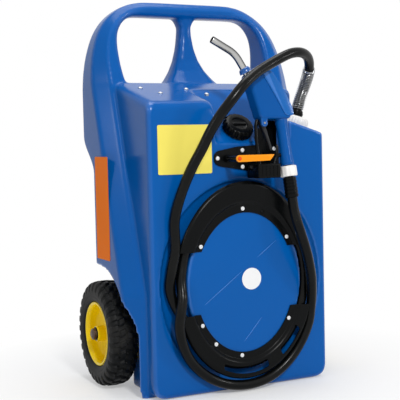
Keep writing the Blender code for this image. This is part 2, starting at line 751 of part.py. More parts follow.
def hose_route():
    """The hose's centre line, from the pump outlet over the front, round the hub and up to the nozzle."""
    start = pump_point(PUMP_CAP_HEIGHT + OUTLET_HEIGHT + 3 * GAP)
    out = pump_axis()
    foot, aim = tail_end()
    face = FRONT_Y - HOSE_RADIUS - GAP
    floor = FRONT_Y + CHANNEL_DEPTH - HOSE_RADIUS - GAP
    off_hub = HOSE_RADIUS + 0.0025
    side = HUB_A + off_hub
    wide = side + 2 * HOSE_RADIUS + 0.001
    low = HOSE_RADIUS + 0.003

    def wound(degrees, radius, y):
        turn = math.radians(degrees)
        return (radius * math.cos(turn), y, HUB_HEIGHT + radius * math.sin(turn))

    def beside_hub(degrees, y=floor, out_by=0.0):
        radius = ellipse_radius(HUB_A, HUB_B, math.radians(degrees))
        return wound(degrees, radius + off_hub + out_by, y)

    over = [start, start + out * 0.0135, start + out * 0.027, (0.2415, -0.1096, 0.8000), (0.2454, -0.1197, 0.8234),
            (0.2447, -0.1338, 0.8450), (0.2390, -0.1506, 0.8639), (0.2277, -0.1684, 0.8796), (0.2110, -0.1861, 0.8913), (0.1894, -0.2021, 0.8983),
            (0.1642, -0.2147, 0.8999), (0.1371, -0.2220, 0.8961), (0.1106, -0.2265, 0.8867), (0.0610, -0.2335, 0.8635),
            (0.0147, -0.2463, 0.8399), (-0.0268, -0.2575, 0.8105), (-0.0619, -0.2590, 0.7737), (-0.0922, -0.2495, 0.7342),
            (-0.1167, -0.2375, 0.6912), (-0.1377, -0.2267, 0.6458), (-0.1602, -0.2157, 0.6009), (-0.1880, -0.2030, 0.5300),
            (-0.2030, face - 0.002, 0.4680)]
    first = [wound(154, 0.2255, face), wound(167, 0.2175, face + 0.003), wound(180, wide, floor),
             wound(190, 0.2095, floor), wound(200, 0.2010, floor)]
    first += [beside_hub(degrees) for degrees in range(211, 391, 12)]
    first += [beside_hub(degrees, out_by=0.003) for degrees in range(403, 505, 12)]
    cross = [beside_hub(512), wound(523, side, floor - 0.001), wound(534, side, floor - 0.007),
             wound(541, side + 0.0005, floor - 0.014), wound(548, 0.1935, floor - 0.0235),
             wound(556, 0.2065, floor - 0.0290), wound(565, 0.2250, floor - 0.0290), wound(575, 0.2400, floor - 0.0255)]
    second = [wound(588, 0.2545, face - 0.006), wound(602, 0.2655, face - 0.001), wound(616, 0.2730, face),
              wound(630, HUB_HEIGHT - low, face), wound(644, 0.2730, face), wound(658, 0.2625, face),
              wound(673, 0.2480, face), wound(687, 0.2340, face - 0.0005)]
    up = [(0.2015, -0.1975, 0.2040), (0.1995, -0.2060, 0.2350), (0.1930, -0.2180, 0.2660), (0.1845, -0.2295, 0.2970),
          (0.1735, -0.2390, 0.3280), (0.1620, -0.2465, 0.3590), (0.1500, -0.2505, 0.3907), (0.1380, -0.2520, 0.4221),
          (0.1283, -0.2498, 0.4539)]
    end = [foot + aim * 0.027, foot + aim * 0.0135, foot]
    return over + first + cross + second + up + end


def nozzle_matrix():
    """Leans the nozzle back about a line under its swivel."""
    turn = Matrix.Rotation(-NOZZLE_LEAN, 4, "X")
    return Matrix.Translation(NOZZLE_PIVOT) @ turn @ Matrix.Translation(-Vector((0, 0, NOZZLE_PIVOT.z)))


def grip_axis():
    """Direction from the grip's top to its foot, in the nozzle's own frame."""
    return (Vector((GRIP_FOOT[0], 0, GRIP_FOOT[1])) - Vector((GRIP_TOP[0], 0, GRIP_TOP[1]))).normalized()


def tail_end():
    """Where the hose meets the hose tail and the direction in which it leaves, in the world."""
    along = grip_axis()
    foot = Vector((GRIP_FOOT[0], 0, GRIP_FOOT[1])) + along * (0.004 + NUT_LENGTH + TAIL_LENGTH + GAP)
    place = nozzle_matrix()
    return place @ foot, (place.to_3x3() @ along).normalized()


def leaned(obj):
    """Move a nozzle piece from its own frame to its place."""
    obj.data.transform(nozzle_matrix())
    return obj


def nozzle():
    """The nozzle's fixed pieces."""
    blue = material("blue_nozzle", (0.010, 0.130, 0.430, 1), 0.35)
    black = material("black_plastic", BLACK, 0.42)
    steel = material("steel", (0.55, 0.56, 0.57, 1), 0.25, 1.0)
    half = BODY_THICKNESS / 2
    entry, bend, tip = Vector((0.0135, 0, 0.8480)), Vector((-0.0130, 0, 0.9010)), Vector((-0.0740, 0, 0.9340))
    into = (entry - bend).normalized()
    away = (tip - bend).normalized()
    path = [entry + into * 0.006]
    path += [entry.lerp(bend, 0.45)]
    corner = [bend - (bend - entry).normalized() * 0.030, bend + away * 0.030]
    for i in range(7):
        t = i / 6
        path.append(corner[0] * (1 - t) ** 2 + bend * 2 * t * (1 - t) + corner[1] * t ** 2)
    path += [tip]
    spout = tube("nozzle_spout", path, SPOUT_RADIUS, 3)
    bore = tube("bore", [bend + away * 0.034, tip + away * 0.01], SPOUT_RADIUS - SPOUT_WALL, 3)
    combine(spout, bore, "DIFFERENCE")
    finish_part(leaned(spout), steel)
    collar_foot = entry + into * (0.001 + GAP)
    collar = turned("spout_collar", [(SPOUT_RADIUS + GAP, 0.016), (0.0140, 0.016), (0.0165, 0.012), (0.0165, 0.0),
                                     (SPOUT_RADIUS + GAP, 0.0)], entry - into * 0.0005, -into, 18)
    finish_part(leaned(collar), blue)

    outline = [(0.0060, 0.8395), (0.0275, 0.8530), (0.0400, 0.8600), (0.0640, 0.8500), (0.0780, 0.8360),
               (0.1060, 0.7960), (0.1260, 0.7500), (0.1290, 0.7300), (0.1270, 0.7221), (0.0520, 0.7221),
               (0.0370, 0.7223), (0.0330, 0.7300), (0.0180, 0.7900)]
    body = flat_piece("nozzle_body", [outline], -half, half)
    round_edges(body, 0.007, 3, 50)
    socket = rod("socket", collar_foot - into * 0.03, entry + into * (0.006 + GAP), SPOUT_RADIUS + GAP, 24)
    combine(body, socket, "DIFFERENCE")
    flat = rod("flat", entry - into * 0.03, entry - into * 0.0002, 0.0175, 24)
    combine(body, flat, "DIFFERENCE")
    px, pz = TRIGGER_PIVOT
    for low in (-half + 0.004, TRIGGER_THICKNESS / 2 + 0.001):
        high = low + (half - 0.004 - TRIGGER_THICKNESS / 2 - 0.001)
        lug = flat_piece("lug", [[(px - 0.009, pz + 0.016), (px - 0.009, pz - 0.004), (px - 0.004, pz - 0.009),
                                  (px + 0.004, pz - 0.009), (px + 0.009, pz - 0.004), (px + 0.009, pz + 0.016)]], low, high)
        combine(body, lug, "UNION")
    hole = rod("hole", (px, -0.03, pz), (px, 0.03, pz), TRIGGER_PIN_RADIUS + GAP, 16)
    combine(body, hole, "DIFFERENCE")
    finish_part(leaned(body), blue)

    cover_line = [(0.0440, 0.8660), (0.0680, 0.8560), (0.0840, 0.8400), (0.1115, 0.7990), (0.1325, 0.7510),
                  (0.1355, 0.7300), (0.1100, 0.7300), (0.0850, 0.7780), (0.0560, 0.8300)]
    cover = flat_piece("nozzle_cover", [cover_line], -COVER_THICKNESS / 2, COVER_THICKNESS / 2)
    round_edges(cover, 0.004, 2, 50)
    grown = [(0.0045, 0.8400), (0.0265, 0.8545), (0.0398, 0.8616), (0.0650, 0.8511), (0.0792, 0.8369),
             (0.1073, 0.7967), (0.1274, 0.7504), (0.1305, 0.7300), (0.1280, 0.7200), (0.0300, 0.7200)]
    inside = flat_piece("inside", [grown], -half - GAP, half + GAP)
    combine(cover, inside, "DIFFERENCE")
    finish_part(leaned(cover), material("blue_cover", (0.020, 0.190, 0.560, 1), 0.30))

    along = grip_axis()
    top = Vector((GRIP_TOP[0], 0, GRIP_TOP[1]))
    long = (Vector((GRIP_FOOT[0], 0, GRIP_FOOT[1])) - top).length
    side = along.cross(Vector((0, 1, 0))).normalized()
    rings = []
    for share, wide, deep in ((-0.02, 0.0165, 0.0160), (0.08, 0.0175, 0.0165), (0.3, 0.0160, 0.0150), (0.55, 0.0160, 0.0150),
                              (0.8, 0.0170, 0.0160), (0.94, 0.0185, 0.0175), (1.0, 0.0175, 0.0165)):
        ring = []
        for i in range(20):
            turn = 2 * math.pi * i / 20
            ring.append(top + along * long * share + side * wide * math.cos(turn)
                        + Vector((0, deep * math.sin(turn), 0)))
        rings.append(ring)
    grip = loft("nozzle_grip", rings)
    combine(grip, box("above", (0.0, -0.1, GRIP_TOP[1]), (0.2, 0.1, GRIP_TOP[1] + 0.1)), "DIFFERENCE")
    finish_part(leaned(grip), blue)

    foot = top + along * (long + GAP)
    tail = turned("hose_tail", [(0, 0), (0.0115, 0), (0.0115, 0.004 + NUT_LENGTH), (TAIL_RADIUS - 0.002, 0.004 + NUT_LENGTH),
                                (TAIL_RADIUS, 0.006 + NUT_LENGTH), (TAIL_RADIUS, 0.001 + NUT_LENGTH + TAIL_LENGTH),
                                (TAIL_RADIUS - 0.003, 0.004 + NUT_LENGTH + TAIL_LENGTH - GAP),
                                (0, 0.004 + NUT_LENGTH + TAIL_LENGTH - GAP)][::-1], foot, along, 18)
    finish_part(leaned(tail), black)
    flat_r = NUT_RADIUS
    nut = turned("swivel_nut", [(0.0115 + GAP, 0), (flat_r - 0.002, 0), (flat_r, 0.002), (flat_r, NUT_LENGTH - 0.002),
                                (flat_r - 0.002, NUT_LENGTH), (0.0115 + GAP, NUT_LENGTH)][::-1],
                 foot + along * 0.002, along, 18)
    finish_part(leaned(nut), material("white_plastic", (0.80, 0.80, 0.78, 1), 0.45))

    loop = [(0.0345, 0, 0.7215), (0.0300, 0, 0.7060), (0.0280, 0, 0.6800), (0.0280, 0, 0.6500), (0.0290, 0, 0.6180),
            (0.0325, 0, 0.5960), (0.0420, 0, 0.5840), (0.0550, 0, 0.5810), (0.0670, 0, 0.5870), (0.0740, 0, 0.6020),
            (0.0800, 0, 0.6180), (0.0890, 0, 0.6260), (0.0958, 0, 0.6275)]
    route, _ = smooth_route(loop, 0.0085)
    finish_part(leaned(tube("trigger_guard", route, GUARD_WIRE, 2)), black)
    pin = rod("trigger_pin", (px, -half + 0.004, pz), (px, half - 0.004, pz), TRIGGER_PIN_RADIUS, 16)
    finish_part(leaned(pin), steel)


def trigger():
    """The nozzle's trigger, with its origin on its pin."""
    px, pz = TRIGGER_PIVOT
    arc = []
    for i in range(9):
        turn = math.radians(200 - 220 * i / 8)
        arc.append((px + 0.0075 * math.cos(turn), pz + 0.0075 * math.sin(turn)))
    outline = arc + [(0.0590, 0.6900), (0.0660, 0.6600), (0.0705, 0.6420), (0.0675, 0.6375), (0.0630, 0.6390),
                     (0.0580, 0.6600), (0.0500, 0.6850)]
    lever = flat_piece("nozzle_trigger", [outline], -TRIGGER_THICKNESS / 2, TRIGGER_THICKNESS / 2)
    round_edges(lever, 0.0015, 2, 40)
    hole = rod("hole", (px, -0.03, pz), (px, 0.03, pz), TRIGGER_PIN_RADIUS + GAP, 16)
    combine(lever, hole, "DIFFERENCE")
    leaned(lever)
    place_origin(lever, nozzle_matrix() @ Vector((px, 0, pz)))
    return finish_part(lever, material("grey_trigger", (0.06, 0.06, 0.06, 1), 0.45))


def place_origin(obj, point):
    """Put an object's origin at a point without moving its shape."""
    obj.data.transform(Matrix.Translation(-Vector(point)))
    obj.location = point


def holder():
    """Holder plate with its latch boss, the cradle for the trigger guard, the latch and its pin."""
    black = material("black_plastic", BLACK, 0.42)
    back = FRONT_Y - GAP
    face = back - PLATE_THICKNESS
    latch_y = face - CRADLE_DEPTH - 0.003
    outline = [(-0.080, 0.614), (-0.080, 0.632), (-0.070, 0.641), (-0.010, 0.652), (0.112, 0.655), (0.116, 0.650),
               (0.116, 0.576), (0.112, 0.572), (0.040, 0.572), (0.016, 0.588), (-0.060, 0.600), (-0.074, 0.605)]
    plate = flat_piece("holder_plate", [outline], face, back)
    lx, lz = LATCH_PIVOT
    boss = rod("boss", (lx, back - 0.001, lz), (lx, latch_y + GAP, lz), LATCH_BOSS_RADIUS, 16)
    combine(plate, boss, "UNION")
    for x, z in plate_screw_places():
        hole = rod("hole", (x, back + 0.002, z), (x, face - 0.002, z), SCREW_SHANK_RADIUS + GAP, 12)
        combine(plate, hole, "DIFFERENCE")
    seat = rod("seat", (lx, latch_y - 0.02, lz), (lx, latch_y + 0.018, lz), LATCH_PIN_RADIUS + GAP, 12)
    combine(plate, seat, "DIFFERENCE")
    finish_part(plate, black)

    rear_y = face - GAP
    front_y = face - CRADLE_DEPTH
    cradle = box("nozzle_cradle", (CRADLE_LEFT, front_y, CRADLE_BOTTOM), (CRADLE_RIGHT, rear_y, CRADLE_TOP))
    round_edges(cradle, 0.003, 2)
    inside = box("inside", (CRADLE_LEFT + CRADLE_WALL, front_y + CRADLE_WALL, CRADLE_BOTTOM + CRADLE_WALL),
                 (CRADLE_RIGHT - CRADLE_WALL, rear_y - CRADLE_WALL, CRADLE_TOP + 0.02))
    combine(cradle, inside, "DIFFERENCE")
    finish_part(cradle, black)

    end = lx + LATCH_LENGTH
    up, down = lz + LATCH_HEIGHT / 2, lz - LATCH_HEIGHT / 2
    round_end = []
    for i in range(9):
        turn = math.radians(90 + 180 * i / 8)
        round_end.append((lx + LATCH_HEIGHT / 2 * math.cos(turn), lz + LATCH_HEIGHT / 2 * math.sin(turn)))
    shape = round_end + [(end - 0.014, down + 0.002), (end, up)]
    bar = flat_piece("latch_lever", [shape], latch_y - LATCH_THICKNESS, latch_y)
    round_edges(bar, 0.001, 2, 40)
    hole = rod("hole", (lx, latch_y + 0.01, lz), (lx, latch_y - 0.02, lz), LATCH_PIN_RADIUS + GAP, 12)
    combine(bar, hole, "DIFFERENCE")
    place_origin(bar, (lx, latch_y - LATCH_THICKNESS / 2, lz))
    finish_part(bar, material("orange_latch", (0.85, 0.28, 0.010, 1), 0.40))
    profile = [(0, 0.003), (0.0045, 0.0022), (0.0055, GAP), (LATCH_PIN_RADIUS, GAP),
               (LATCH_PIN_RADIUS, -LATCH_THICKNESS - 0.017), (0, -LATCH_THICKNESS - 0.017)]
    pin = turned("latch_pin", profile, (lx, latch_y - LATCH_THICKNESS - GAP, lz), (0, -1, 0), 12)
    finish_part(pin, material("steel", (0.55, 0.56, 0.57, 1), 0.25, 1.0))
    screw_set("plate_screws", plate_screw_places(), face, material("white_screw", (0.8, 0.8, 0.8, 1), 0.4),
              PLATE_THICKNESS + WALL - 0.0020)


def filler_cap():
    """The filler's neck seal and its ribbed screw cap, whose origin is on its axis."""
    ribs = 18
    seal_height = 0.002
    seal = turned("filler_seal", [(FILLER_BORE + 0.001, GAP), (FILLER_CAP_RADIUS - 0.006, GAP),
                                  (FILLER_CAP_RADIUS - 0.006, seal_height), (FILLER_BORE + 0.001, seal_height)][::-1],
                  filler_point(), filler_axis(), 24)
    finish_part(seal, material("rubber", (0.02, 0.02, 0.02, 1), 0.8))
    base = seal_height + GAP
    levels = [(base, 0.0410, 0.0), (base + 0.003, FILLER_CAP_RADIUS, 1.0), (FILLER_CAP_HEIGHT - 0.008, 0.0415, 1.0),
              (FILLER_CAP_HEIGHT - 0.0015, 0.0355, 0.2)]
    turn = Vector((0, 0, 1)).rotation_difference(filler_axis()).to_matrix()
    plug_radius, plug_depth = FILLER_BORE - 0.0015, 0.010
    rings = []

    def ring_at(height, radius, rib):
        ring = []
        for i in range(ribs * 4):
            angle = 2 * math.pi * i / (ribs * 4)
            inset = 0.0032 * rib if i % 4 in (0, 1) else 0.0
            local = Vector(((radius - inset) * math.cos(angle), (radius - inset) * math.sin(angle), height))
            ring.append(filler_point() + turn @ local)
        return ring

    rings.append(ring_at(-plug_depth, plug_radius, 0.0))
    rings.append(ring_at(base, plug_radius, 0.0))
    rings += [ring_at(*level) for level in levels]
    cap = loft("filler_cap", rings)
    dish = rod("dish", filler_point(FILLER_CAP_HEIGHT + 0.004), filler_point(FILLER_CAP_HEIGHT - 0.004), 0.022, 24)
    combine(cap, dish, "DIFFERENCE")
    bar = rod("bar", filler_point(FILLER_CAP_HEIGHT - 0.0045), filler_point(FILLER_CAP_HEIGHT - 0.001), 0.009, 16)
    combine(cap, bar, "UNION")
    place_origin(cap, filler_point())
    return finish_part(cap, material("black_plastic", BLACK, 0.42))


def pump():
    """Pump cap, outlet fitting, riser hose, pump and strainer, all on or under the shoulder."""
    seat = pump_point()
    axis = pump_axis()
    white = material("white_plastic", (0.80, 0.80, 0.78, 1), 0.45)
    black = material("black_plastic", BLACK, 0.42)
    r = PUMP_CAP_RADIUS
    spigot = PUMP_BORE - 0.0010
    cap = turned("pump_cap", [(0, PUMP_CAP_HEIGHT), (r - 0.012, PUMP_CAP_HEIGHT), (r - 0.008, PUMP_CAP_HEIGHT - 0.004),
                              (r - 0.002, PUMP_CAP_HEIGHT - 0.006), (r, PUMP_CAP_HEIGHT - 0.008), (r, GAP + 0.001),
                              (r - 0.001, GAP), (spigot, GAP), (spigot, -0.012), (0, -0.012)], seat, axis, 28)
    finish_part(cap, white)
    base = PUMP_CAP_HEIGHT + GAP
    o = OUTLET_RADIUS
    outlet = turned("pump_outlet", [(0, base + OUTLET_HEIGHT), (o - 0.002, base + OUTLET_HEIGHT), (o, base + OUTLET_HEIGHT - 0.002),
                                    (o, base + 0.012), (o + 0.003, base + 0.010), (o + 0.003, base), (0, base)],
                    seat, axis, 28)
    finish_part(outlet, black)
    pump_top = Vector((0.125, PUMP_Y, 0.200))
    under = pump_point(-0.012 - GAP)
    route, _ = smooth_route([under, under - axis * 0.030, Vector((0.182, PUMP_Y, 0.600)), Vector((0.158, PUMP_Y, 0.480)),
                             Vector((0.136, PUMP_Y, 0.340)), pump_top + Vector((0, 0, 0.050)),
                             pump_top + Vector((0, 0, GAP))], 0.035, 0.020)
    finish_part(tube("riser_hose", route, 0.0100, 2), material("clear_hose", (0.5, 0.5, 0.48, 1), 0.3))
    motor = turned("submersible_pump", [(0, 0), (0.012, 0), (0.012, -0.010), (0.026, -0.014), (0.026, -0.130),
                                        (0.021, -0.135), (0, -0.135)], pump_top, (0, 0, 1), 24)
    finish_part(motor, black)
    foot = WALL + GAP
    strainer = turned("pump_strainer", [(0, pump_top.z - 0.135 - GAP), (0.022, pump_top.z - 0.135 - GAP),
                                        (0.024, pump_top.z - 0.140), (0.024, foot + 0.004), (0.018, foot), (0, foot)],
                      (pump_top.x, pump_top.y, 0), (0, 0, 1), 20)
    finish_part(strainer, material("steel", (0.55, 0.56, 0.57, 1), 0.25, 1.0))


def hose():
    """The delivery hose, the bend spring wound round its first stretch and the ferrule that ends the spring."""
    points, length = smooth_route(hose_route(), 0.046, 2 * HOSE_RADIUS)
    finish_part(tube("delivery_hose", points, HOSE_RADIUS, 2), material("rubber", (0.02, 0.02, 0.02, 1), 0.8))
    fine, _ = smooth_route(hose_route(), 0.002)
    coil_radius = HOSE_RADIUS + SPRING_CLEARANCE + SPRING_WIRE
    lead = SPRING_WIRE + GAP
    total = SPRING_TURNS * SPRING_POINTS
    side = Vector((0, 1, 0))
    coil = []
    for i in range(total + 1):
        centre, smooth_way, _ = on_line(points, lead + SPRING_LENGTH * i / total)
        side = (side - smooth_way * side.dot(smooth_way)).normalized()
        turn = 2 * math.pi * i / SPRING_POINTS
        coil.append(centre + (side * math.cos(turn) + smooth_way.cross(side) * math.sin(turn)) * coil_radius)
    least = min((coil[i] - coil[j]).length for i in range(total + 1) for j in range(i + 5, min(total + 1, i + 14)))
    print("bend spring: least gap to itself mm", round((least - 2 * SPRING_WIRE) * 1000, 2))
    finish_part(tube("bend_spring", coil, SPRING_WIRE, 1), material("steel", (0.55, 0.56, 0.57, 1), 0.25, 1.0))
    foot, _, way = on_line(points, lead + SPRING_LENGTH + SPRING_WIRE + GAP)
    ring = turned("spring_ferrule", [(HOSE_RADIUS + 0.0006, 0.008), (HOSE_RADIUS + 0.0034, 0.008), (HOSE_RADIUS + 0.0034, 0.0),
                                     (HOSE_RADIUS + 0.0006, 0.0)], foot, way, 28)
    finish_part(ring, material("steel", (0.55, 0.56, 0.57, 1), 0.25, 1.0))
    print("hose length m", round(length, 3), "points", len(points))
    bends = []
    for i in range(20, len(fine) - 20):
        a, b, c = fine[i - 10], fine[i], fine[i + 10]
        area = ((b - a).cross(c - a)).length / 2
        bends.append(((a - b).length * (b - c).length * (c - a).length / max(4 * area, 1e-9), i))
    print("tightest hose bend m", round(min(bends)[0], 3), "at", [round(v, 3) for v in fine[min(bends)[1]]])
    near = 9.0
    for i in range(0, len(fine), 4):
        for j in range(i + 60, len(fine), 4):
            near = min(near, (fine[i] - fine[j]).length)
    print("hose: least gap to itself mm", round((near - 2 * HOSE_RADIUS) * 1000, 2))


def wheel(side, word):
    """One wheel: tyre, rim, bush and valve, all with their origin on the axle."""
    x = side * WHEEL_CENTRE_X
    hub = Vector((x, AXLE_Y, TYRE_RADIUS))
    out = Vector((side, 0, 0))
    half = TYRE_WIDTH / 2
    crown = TYRE_RADIUS
    bead = RIM_RADIUS
    profile = [(bead + GAP, -half + 0.012), (bead + 0.012, -half + 0.002), (bead + 0.032, -half), (crown - 0.014, -half + 0.006),
               (crown - 0.003, -half + 0.018), (crown, -half + 0.034)]
    profile = profile + [(radius, -along) for radius, along in reversed(profile)]
    steps = TREAD_BLOCKS * 2
    rings = []
    for i in range(steps):
        turn = 2 * math.pi * i / steps
        ring = []
        for k, (radius, along) in enumerate(profile):
            on_tread = 3 <= k <= 8
            left_side = k < 6
            groove = on_tread and ((i % 2 == 0) if left_side else (i % 2 == 1))
            r = radius - (TREAD_DEPTH if groove and k not in (5, 6) else 0)
            ring.append(hub + out * along + Vector((0, r * math.cos(turn), r * math.sin(turn))))
        rings.append(ring)
    work = bmesh.new()
    rows = [[work.verts.new(point) for point in ring] for ring in rings]
    count = len(profile)
    for i in range(steps):
        first, second = rows[i], rows[(i + 1) % steps]
        for k in range(count):
            m = (k + 1) % count
            work.faces.new((first[k], first[m], second[m], second[k]))
    tyre = mesh_object(f"tyre_{word}", work)
    place_origin(tyre, hub)
    finish_part(tyre, material("tyre_rubber", (0.018, 0.018, 0.018, 1), 0.75))

    rim_half = half - 0.010
    hub_half = HUB_LENGTH / 2
    web = 0.004
    bore = AXLE_RADIUS + RUNNING_CLEARANCE + BUSH_WALL + GAP
    rim_profile = [(bead, rim_half), (bead - 0.004, rim_half + 0.001), (bead - 0.008, rim_half - 0.002),
                   (bead - 0.013, 0.010), (bead - 0.030, -0.001), (HUB_RADIUS + 0.004, -0.001), (HUB_RADIUS, 0.004),
                   (HUB_RADIUS - 0.002, hub_half), (bore, hub_half), (bore, -hub_half), (HUB_RADIUS - 0.002, -hub_half),
                   (HUB_RADIUS, -0.004 - web), (HUB_RADIUS + 0.004, -0.001 - web), (bead - 0.030, -0.001 - web),
                   (bead - 0.013, -0.012), (bead - 0.008, -rim_half + 0.002), (bead - 0.004, -rim_half - 0.001),
                   (bead, -rim_half)]
    rim = turned(f"rim_{word}", rim_profile, hub, out, 24)
    valve_at = 0.068
    hole = rod("hole", hub + Vector((0, valve_at, 0)) - out * 0.02, hub + Vector((0, valve_at, 0)) + out * 0.02,
               0.0035 + GAP, 12)
    combine(rim, hole, "DIFFERENCE")
    place_origin(rim, hub)
    finish_part(rim, material("yellow_rim", (0.90, 0.62, 0.010, 1), 0.35))
    bush = turned(f"wheel_bush_{word}", [(AXLE_RADIUS + RUNNING_CLEARANCE, hub_half + 0.001), (HUB_RADIUS - 0.004, hub_half + 0.001),
                                         (HUB_RADIUS - 0.004, hub_half + GAP), (bore - GAP, hub_half + GAP),
                                         (bore - GAP, -hub_half), (AXLE_RADIUS + RUNNING_CLEARANCE, -hub_half)],
                  hub, out, 16)
    place_origin(bush, hub)
    finish_part(bush, material("black_plastic", BLACK, 0.42))
    stem_foot = hub + Vector((0, valve_at, 0))
    valve = turned(f"valve_stem_{word}", [(0, 0.030), (0.0030, 0.030), (0.0035, 0.026), (0.0035, -0.010), (0, -0.010)],
                   stem_foot, out, 12)
    place_origin(valve, hub)
    finish_part(valve, material("black_plastic", BLACK, 0.42))
    washer_x = hub_half + 0.001 + WHEEL_SIDE_PLAY / 2
    washer = turned(f"axle_washer_{word}", [(AXLE_RADIUS + GAP, 0.002), (0.018, 0.002), (0.018, 0.0), (AXLE_RADIUS + GAP, 0.0)],
                    hub - out * (hub_half + 0.003 + GAP), out, 14)
    finish_part(washer, material("zinc_steel", (0.50, 0.51, 0.52, 1), 0.35, 1.0))
    cap = turned(f"axle_cap_{word}", [(0, 0.012), (0.008, 0.012), (0.0155, 0.008), (0.0155, 0.0), (AXLE_RADIUS + GAP, 0.0),
                                      (AXLE_RADIUS + GAP, 0.006), (0, 0.006)], hub + out * washer_x, out, 16)
    finish_part(cap, material("steel", (0.55, 0.56, 0.57, 1), 0.25, 1.0))


def running_gear():
    """Both wheels, the axle, its washers, brackets and bracket screws."""
    for side, word in ((-1, "left"), (1, "right")):
        wheel(side, word)
    steel = material("zinc_steel", (0.50, 0.51, 0.52, 1), 0.35, 1.0)
    reach = WHEEL_CENTRE_X + HUB_LENGTH / 2 + 0.001 + WHEEL_SIDE_PLAY / 2 + 0.006 - GAP
    finish_part(rod("axle", (-reach, AXLE_Y, TYRE_RADIUS), (reach, AXLE_Y, TYRE_RADIUS), AXLE_RADIUS, 20), steel)
    for side, word in ((-1, "left"), (1, "right")):
        x = side * BRACKET_X
        top = AXLE_BAY_HEIGHT - GAP
        flange = box(f"axle_bracket_{word}", (x - BRACKET_WIDTH / 2, AXLE_Y - 0.034, top - 0.004),
                     (x + BRACKET_WIDTH / 2, AXLE_Y + 0.034, top))
        for cheek in (x - 0.012, x + 0.008):
            outline = [(AXLE_Y - 0.020, top - 0.002), (AXLE_Y - 0.017, TYRE_RADIUS)]
            for i in range(9):
                turn = math.pi + math.pi * i / 8
                outline.append((AXLE_Y + 0.017 * math.cos(turn), TYRE_RADIUS + 0.017 * math.sin(turn)))
            outline += [(AXLE_Y + 0.017, TYRE_RADIUS), (AXLE_Y + 0.020, top - 0.002)]
            combine(flange, flat_piece("cheek", [outline], cheek, cheek + 0.004, "YZ"), "UNION")
        combine(flange, rod("hole", (x - 0.03, AXLE_Y, TYRE_RADIUS), (x + 0.03, AXLE_Y, TYRE_RADIUS),
                            AXLE_RADIUS + GAP, 16), "DIFFERENCE")
        finish_part(flange, steel)


def labels():
    """The plain plates on the tank's skin."""
    yellow = material("yellow_plate", (0.90, 0.75, 0.05, 1), 0.45)
    plate = flat_piece("instruction_plate", [[(-0.2390, 0.584), (-0.0850, 0.584), (-0.0850, 0.711), (-0.2390, 0.711)]],
                       FRONT_Y - GAP - LABEL_THICKNESS, FRONT_Y - GAP)
    finish_part(plate, yellow)
    left = -BODY_HALF_WIDTH - GAP
    label = flat_piece("side_label", [[(-0.017, 0.353), (0.079, 0.353), (0.079, 0.632), (-0.017, 0.632)]],
                       left - LABEL_THICKNESS, left, "YZ")
    finish_part(label, material("orange_label", (0.85, 0.20, 0.02, 1), 0.45))
    hub_front = FRONT_Y - HUB_PROUD - GAP
    plate = turned("round_plate", [(0, LABEL_THICKNESS), (0.029, LABEL_THICKNESS), (0.029, 0), (0, 0)],
                   (0.018, hub_front, 0.300), (0, -1, 0), 32)
    finish_part(plate, material("white_plate", (0.85, 0.85, 0.85, 1), 0.45))


def guards():
    """Both hose guards and their screws."""
    places = guard_screw_places()
    upper, lower = places[:len(UPPER_SCREW_ANGLES)], places[len(UPPER_SCREW_ANGLES):]
    guard("hose_guard_upper", UPPER_GUARD_OUTER_B, math.radians(36), math.radians(146), [], upper)
    slots = [(252, 284, 0.52, 0.76), (298, 316, 0.50, 0.76)]
    guard("hose_guard_lower", LOWER_GUARD_OUTER_B, math.radians(209), math.radians(332), slots, lower)
    base = FRONT_Y - HUB_PROUD - GAP - GUARD_THICKNESS
    screw_set("guard_screws", places, base, material("white_screw", (0.8, 0.8, 0.8, 1), 0.4),
              GUARD_THICKNESS + GAP + SCREW_DEPTH)


def shift_origin():
    """Move the whole model so that its origin is under the middle of its box."""
    for obj in PARTS.objects:
        obj.location.y += ORIGIN_SHIFT


def main():
    clear_scene()
    tank()
    guards()
    pump()
    nozzle()
    trigger()
    holder()
    filler_cap()
    hose()
    running_gear()
    labels()
    shift_origin()


main()
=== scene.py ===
from math import atan2, copysign, cos, degrees, hypot, pi, radians, sin, sqrt, tan

import bmesh
import bpy
import numpy as np
from mathutils import Matrix, Vector


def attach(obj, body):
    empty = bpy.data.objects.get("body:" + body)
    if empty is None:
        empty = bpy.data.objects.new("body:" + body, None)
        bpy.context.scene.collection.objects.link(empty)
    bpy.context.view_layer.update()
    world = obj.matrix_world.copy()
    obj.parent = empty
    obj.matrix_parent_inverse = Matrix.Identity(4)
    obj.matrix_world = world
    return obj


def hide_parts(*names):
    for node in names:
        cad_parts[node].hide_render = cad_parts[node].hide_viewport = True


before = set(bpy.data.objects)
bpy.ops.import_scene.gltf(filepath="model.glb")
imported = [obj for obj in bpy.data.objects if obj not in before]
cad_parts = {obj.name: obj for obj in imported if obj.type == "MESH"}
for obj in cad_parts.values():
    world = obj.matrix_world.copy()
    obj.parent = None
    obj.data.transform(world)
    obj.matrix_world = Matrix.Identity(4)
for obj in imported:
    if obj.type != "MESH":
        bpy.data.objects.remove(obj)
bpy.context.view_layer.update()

# Fluid transfer trolley: a blue moulded tank on two wheels with a pump, a wound hose and a nozzle.
# The pieces are drawn in the part's drawing frame and moved by ORIGIN_SHIFT to the row frame.

# Overall
GAP = 0.0003
TOTAL_HEIGHT = 1.07
ORIGIN_SHIFT = 0.0253

# Tank body
FRONT_Y = -0.18
LOW_REAR_Y = 0.105
HANDLE_REAR_Y = 0.18
CORE_HALF_WIDTH = 0.264
BODY_HALF_WIDTH = 0.313
SHELF_FRONT_HEIGHT = 0.768
SHELF_HEIGHT = 0.834
SHELF_KNEE_Y = 0.055
OVERHANG_START = 0.585
OVERHANG_FULL = 0.69

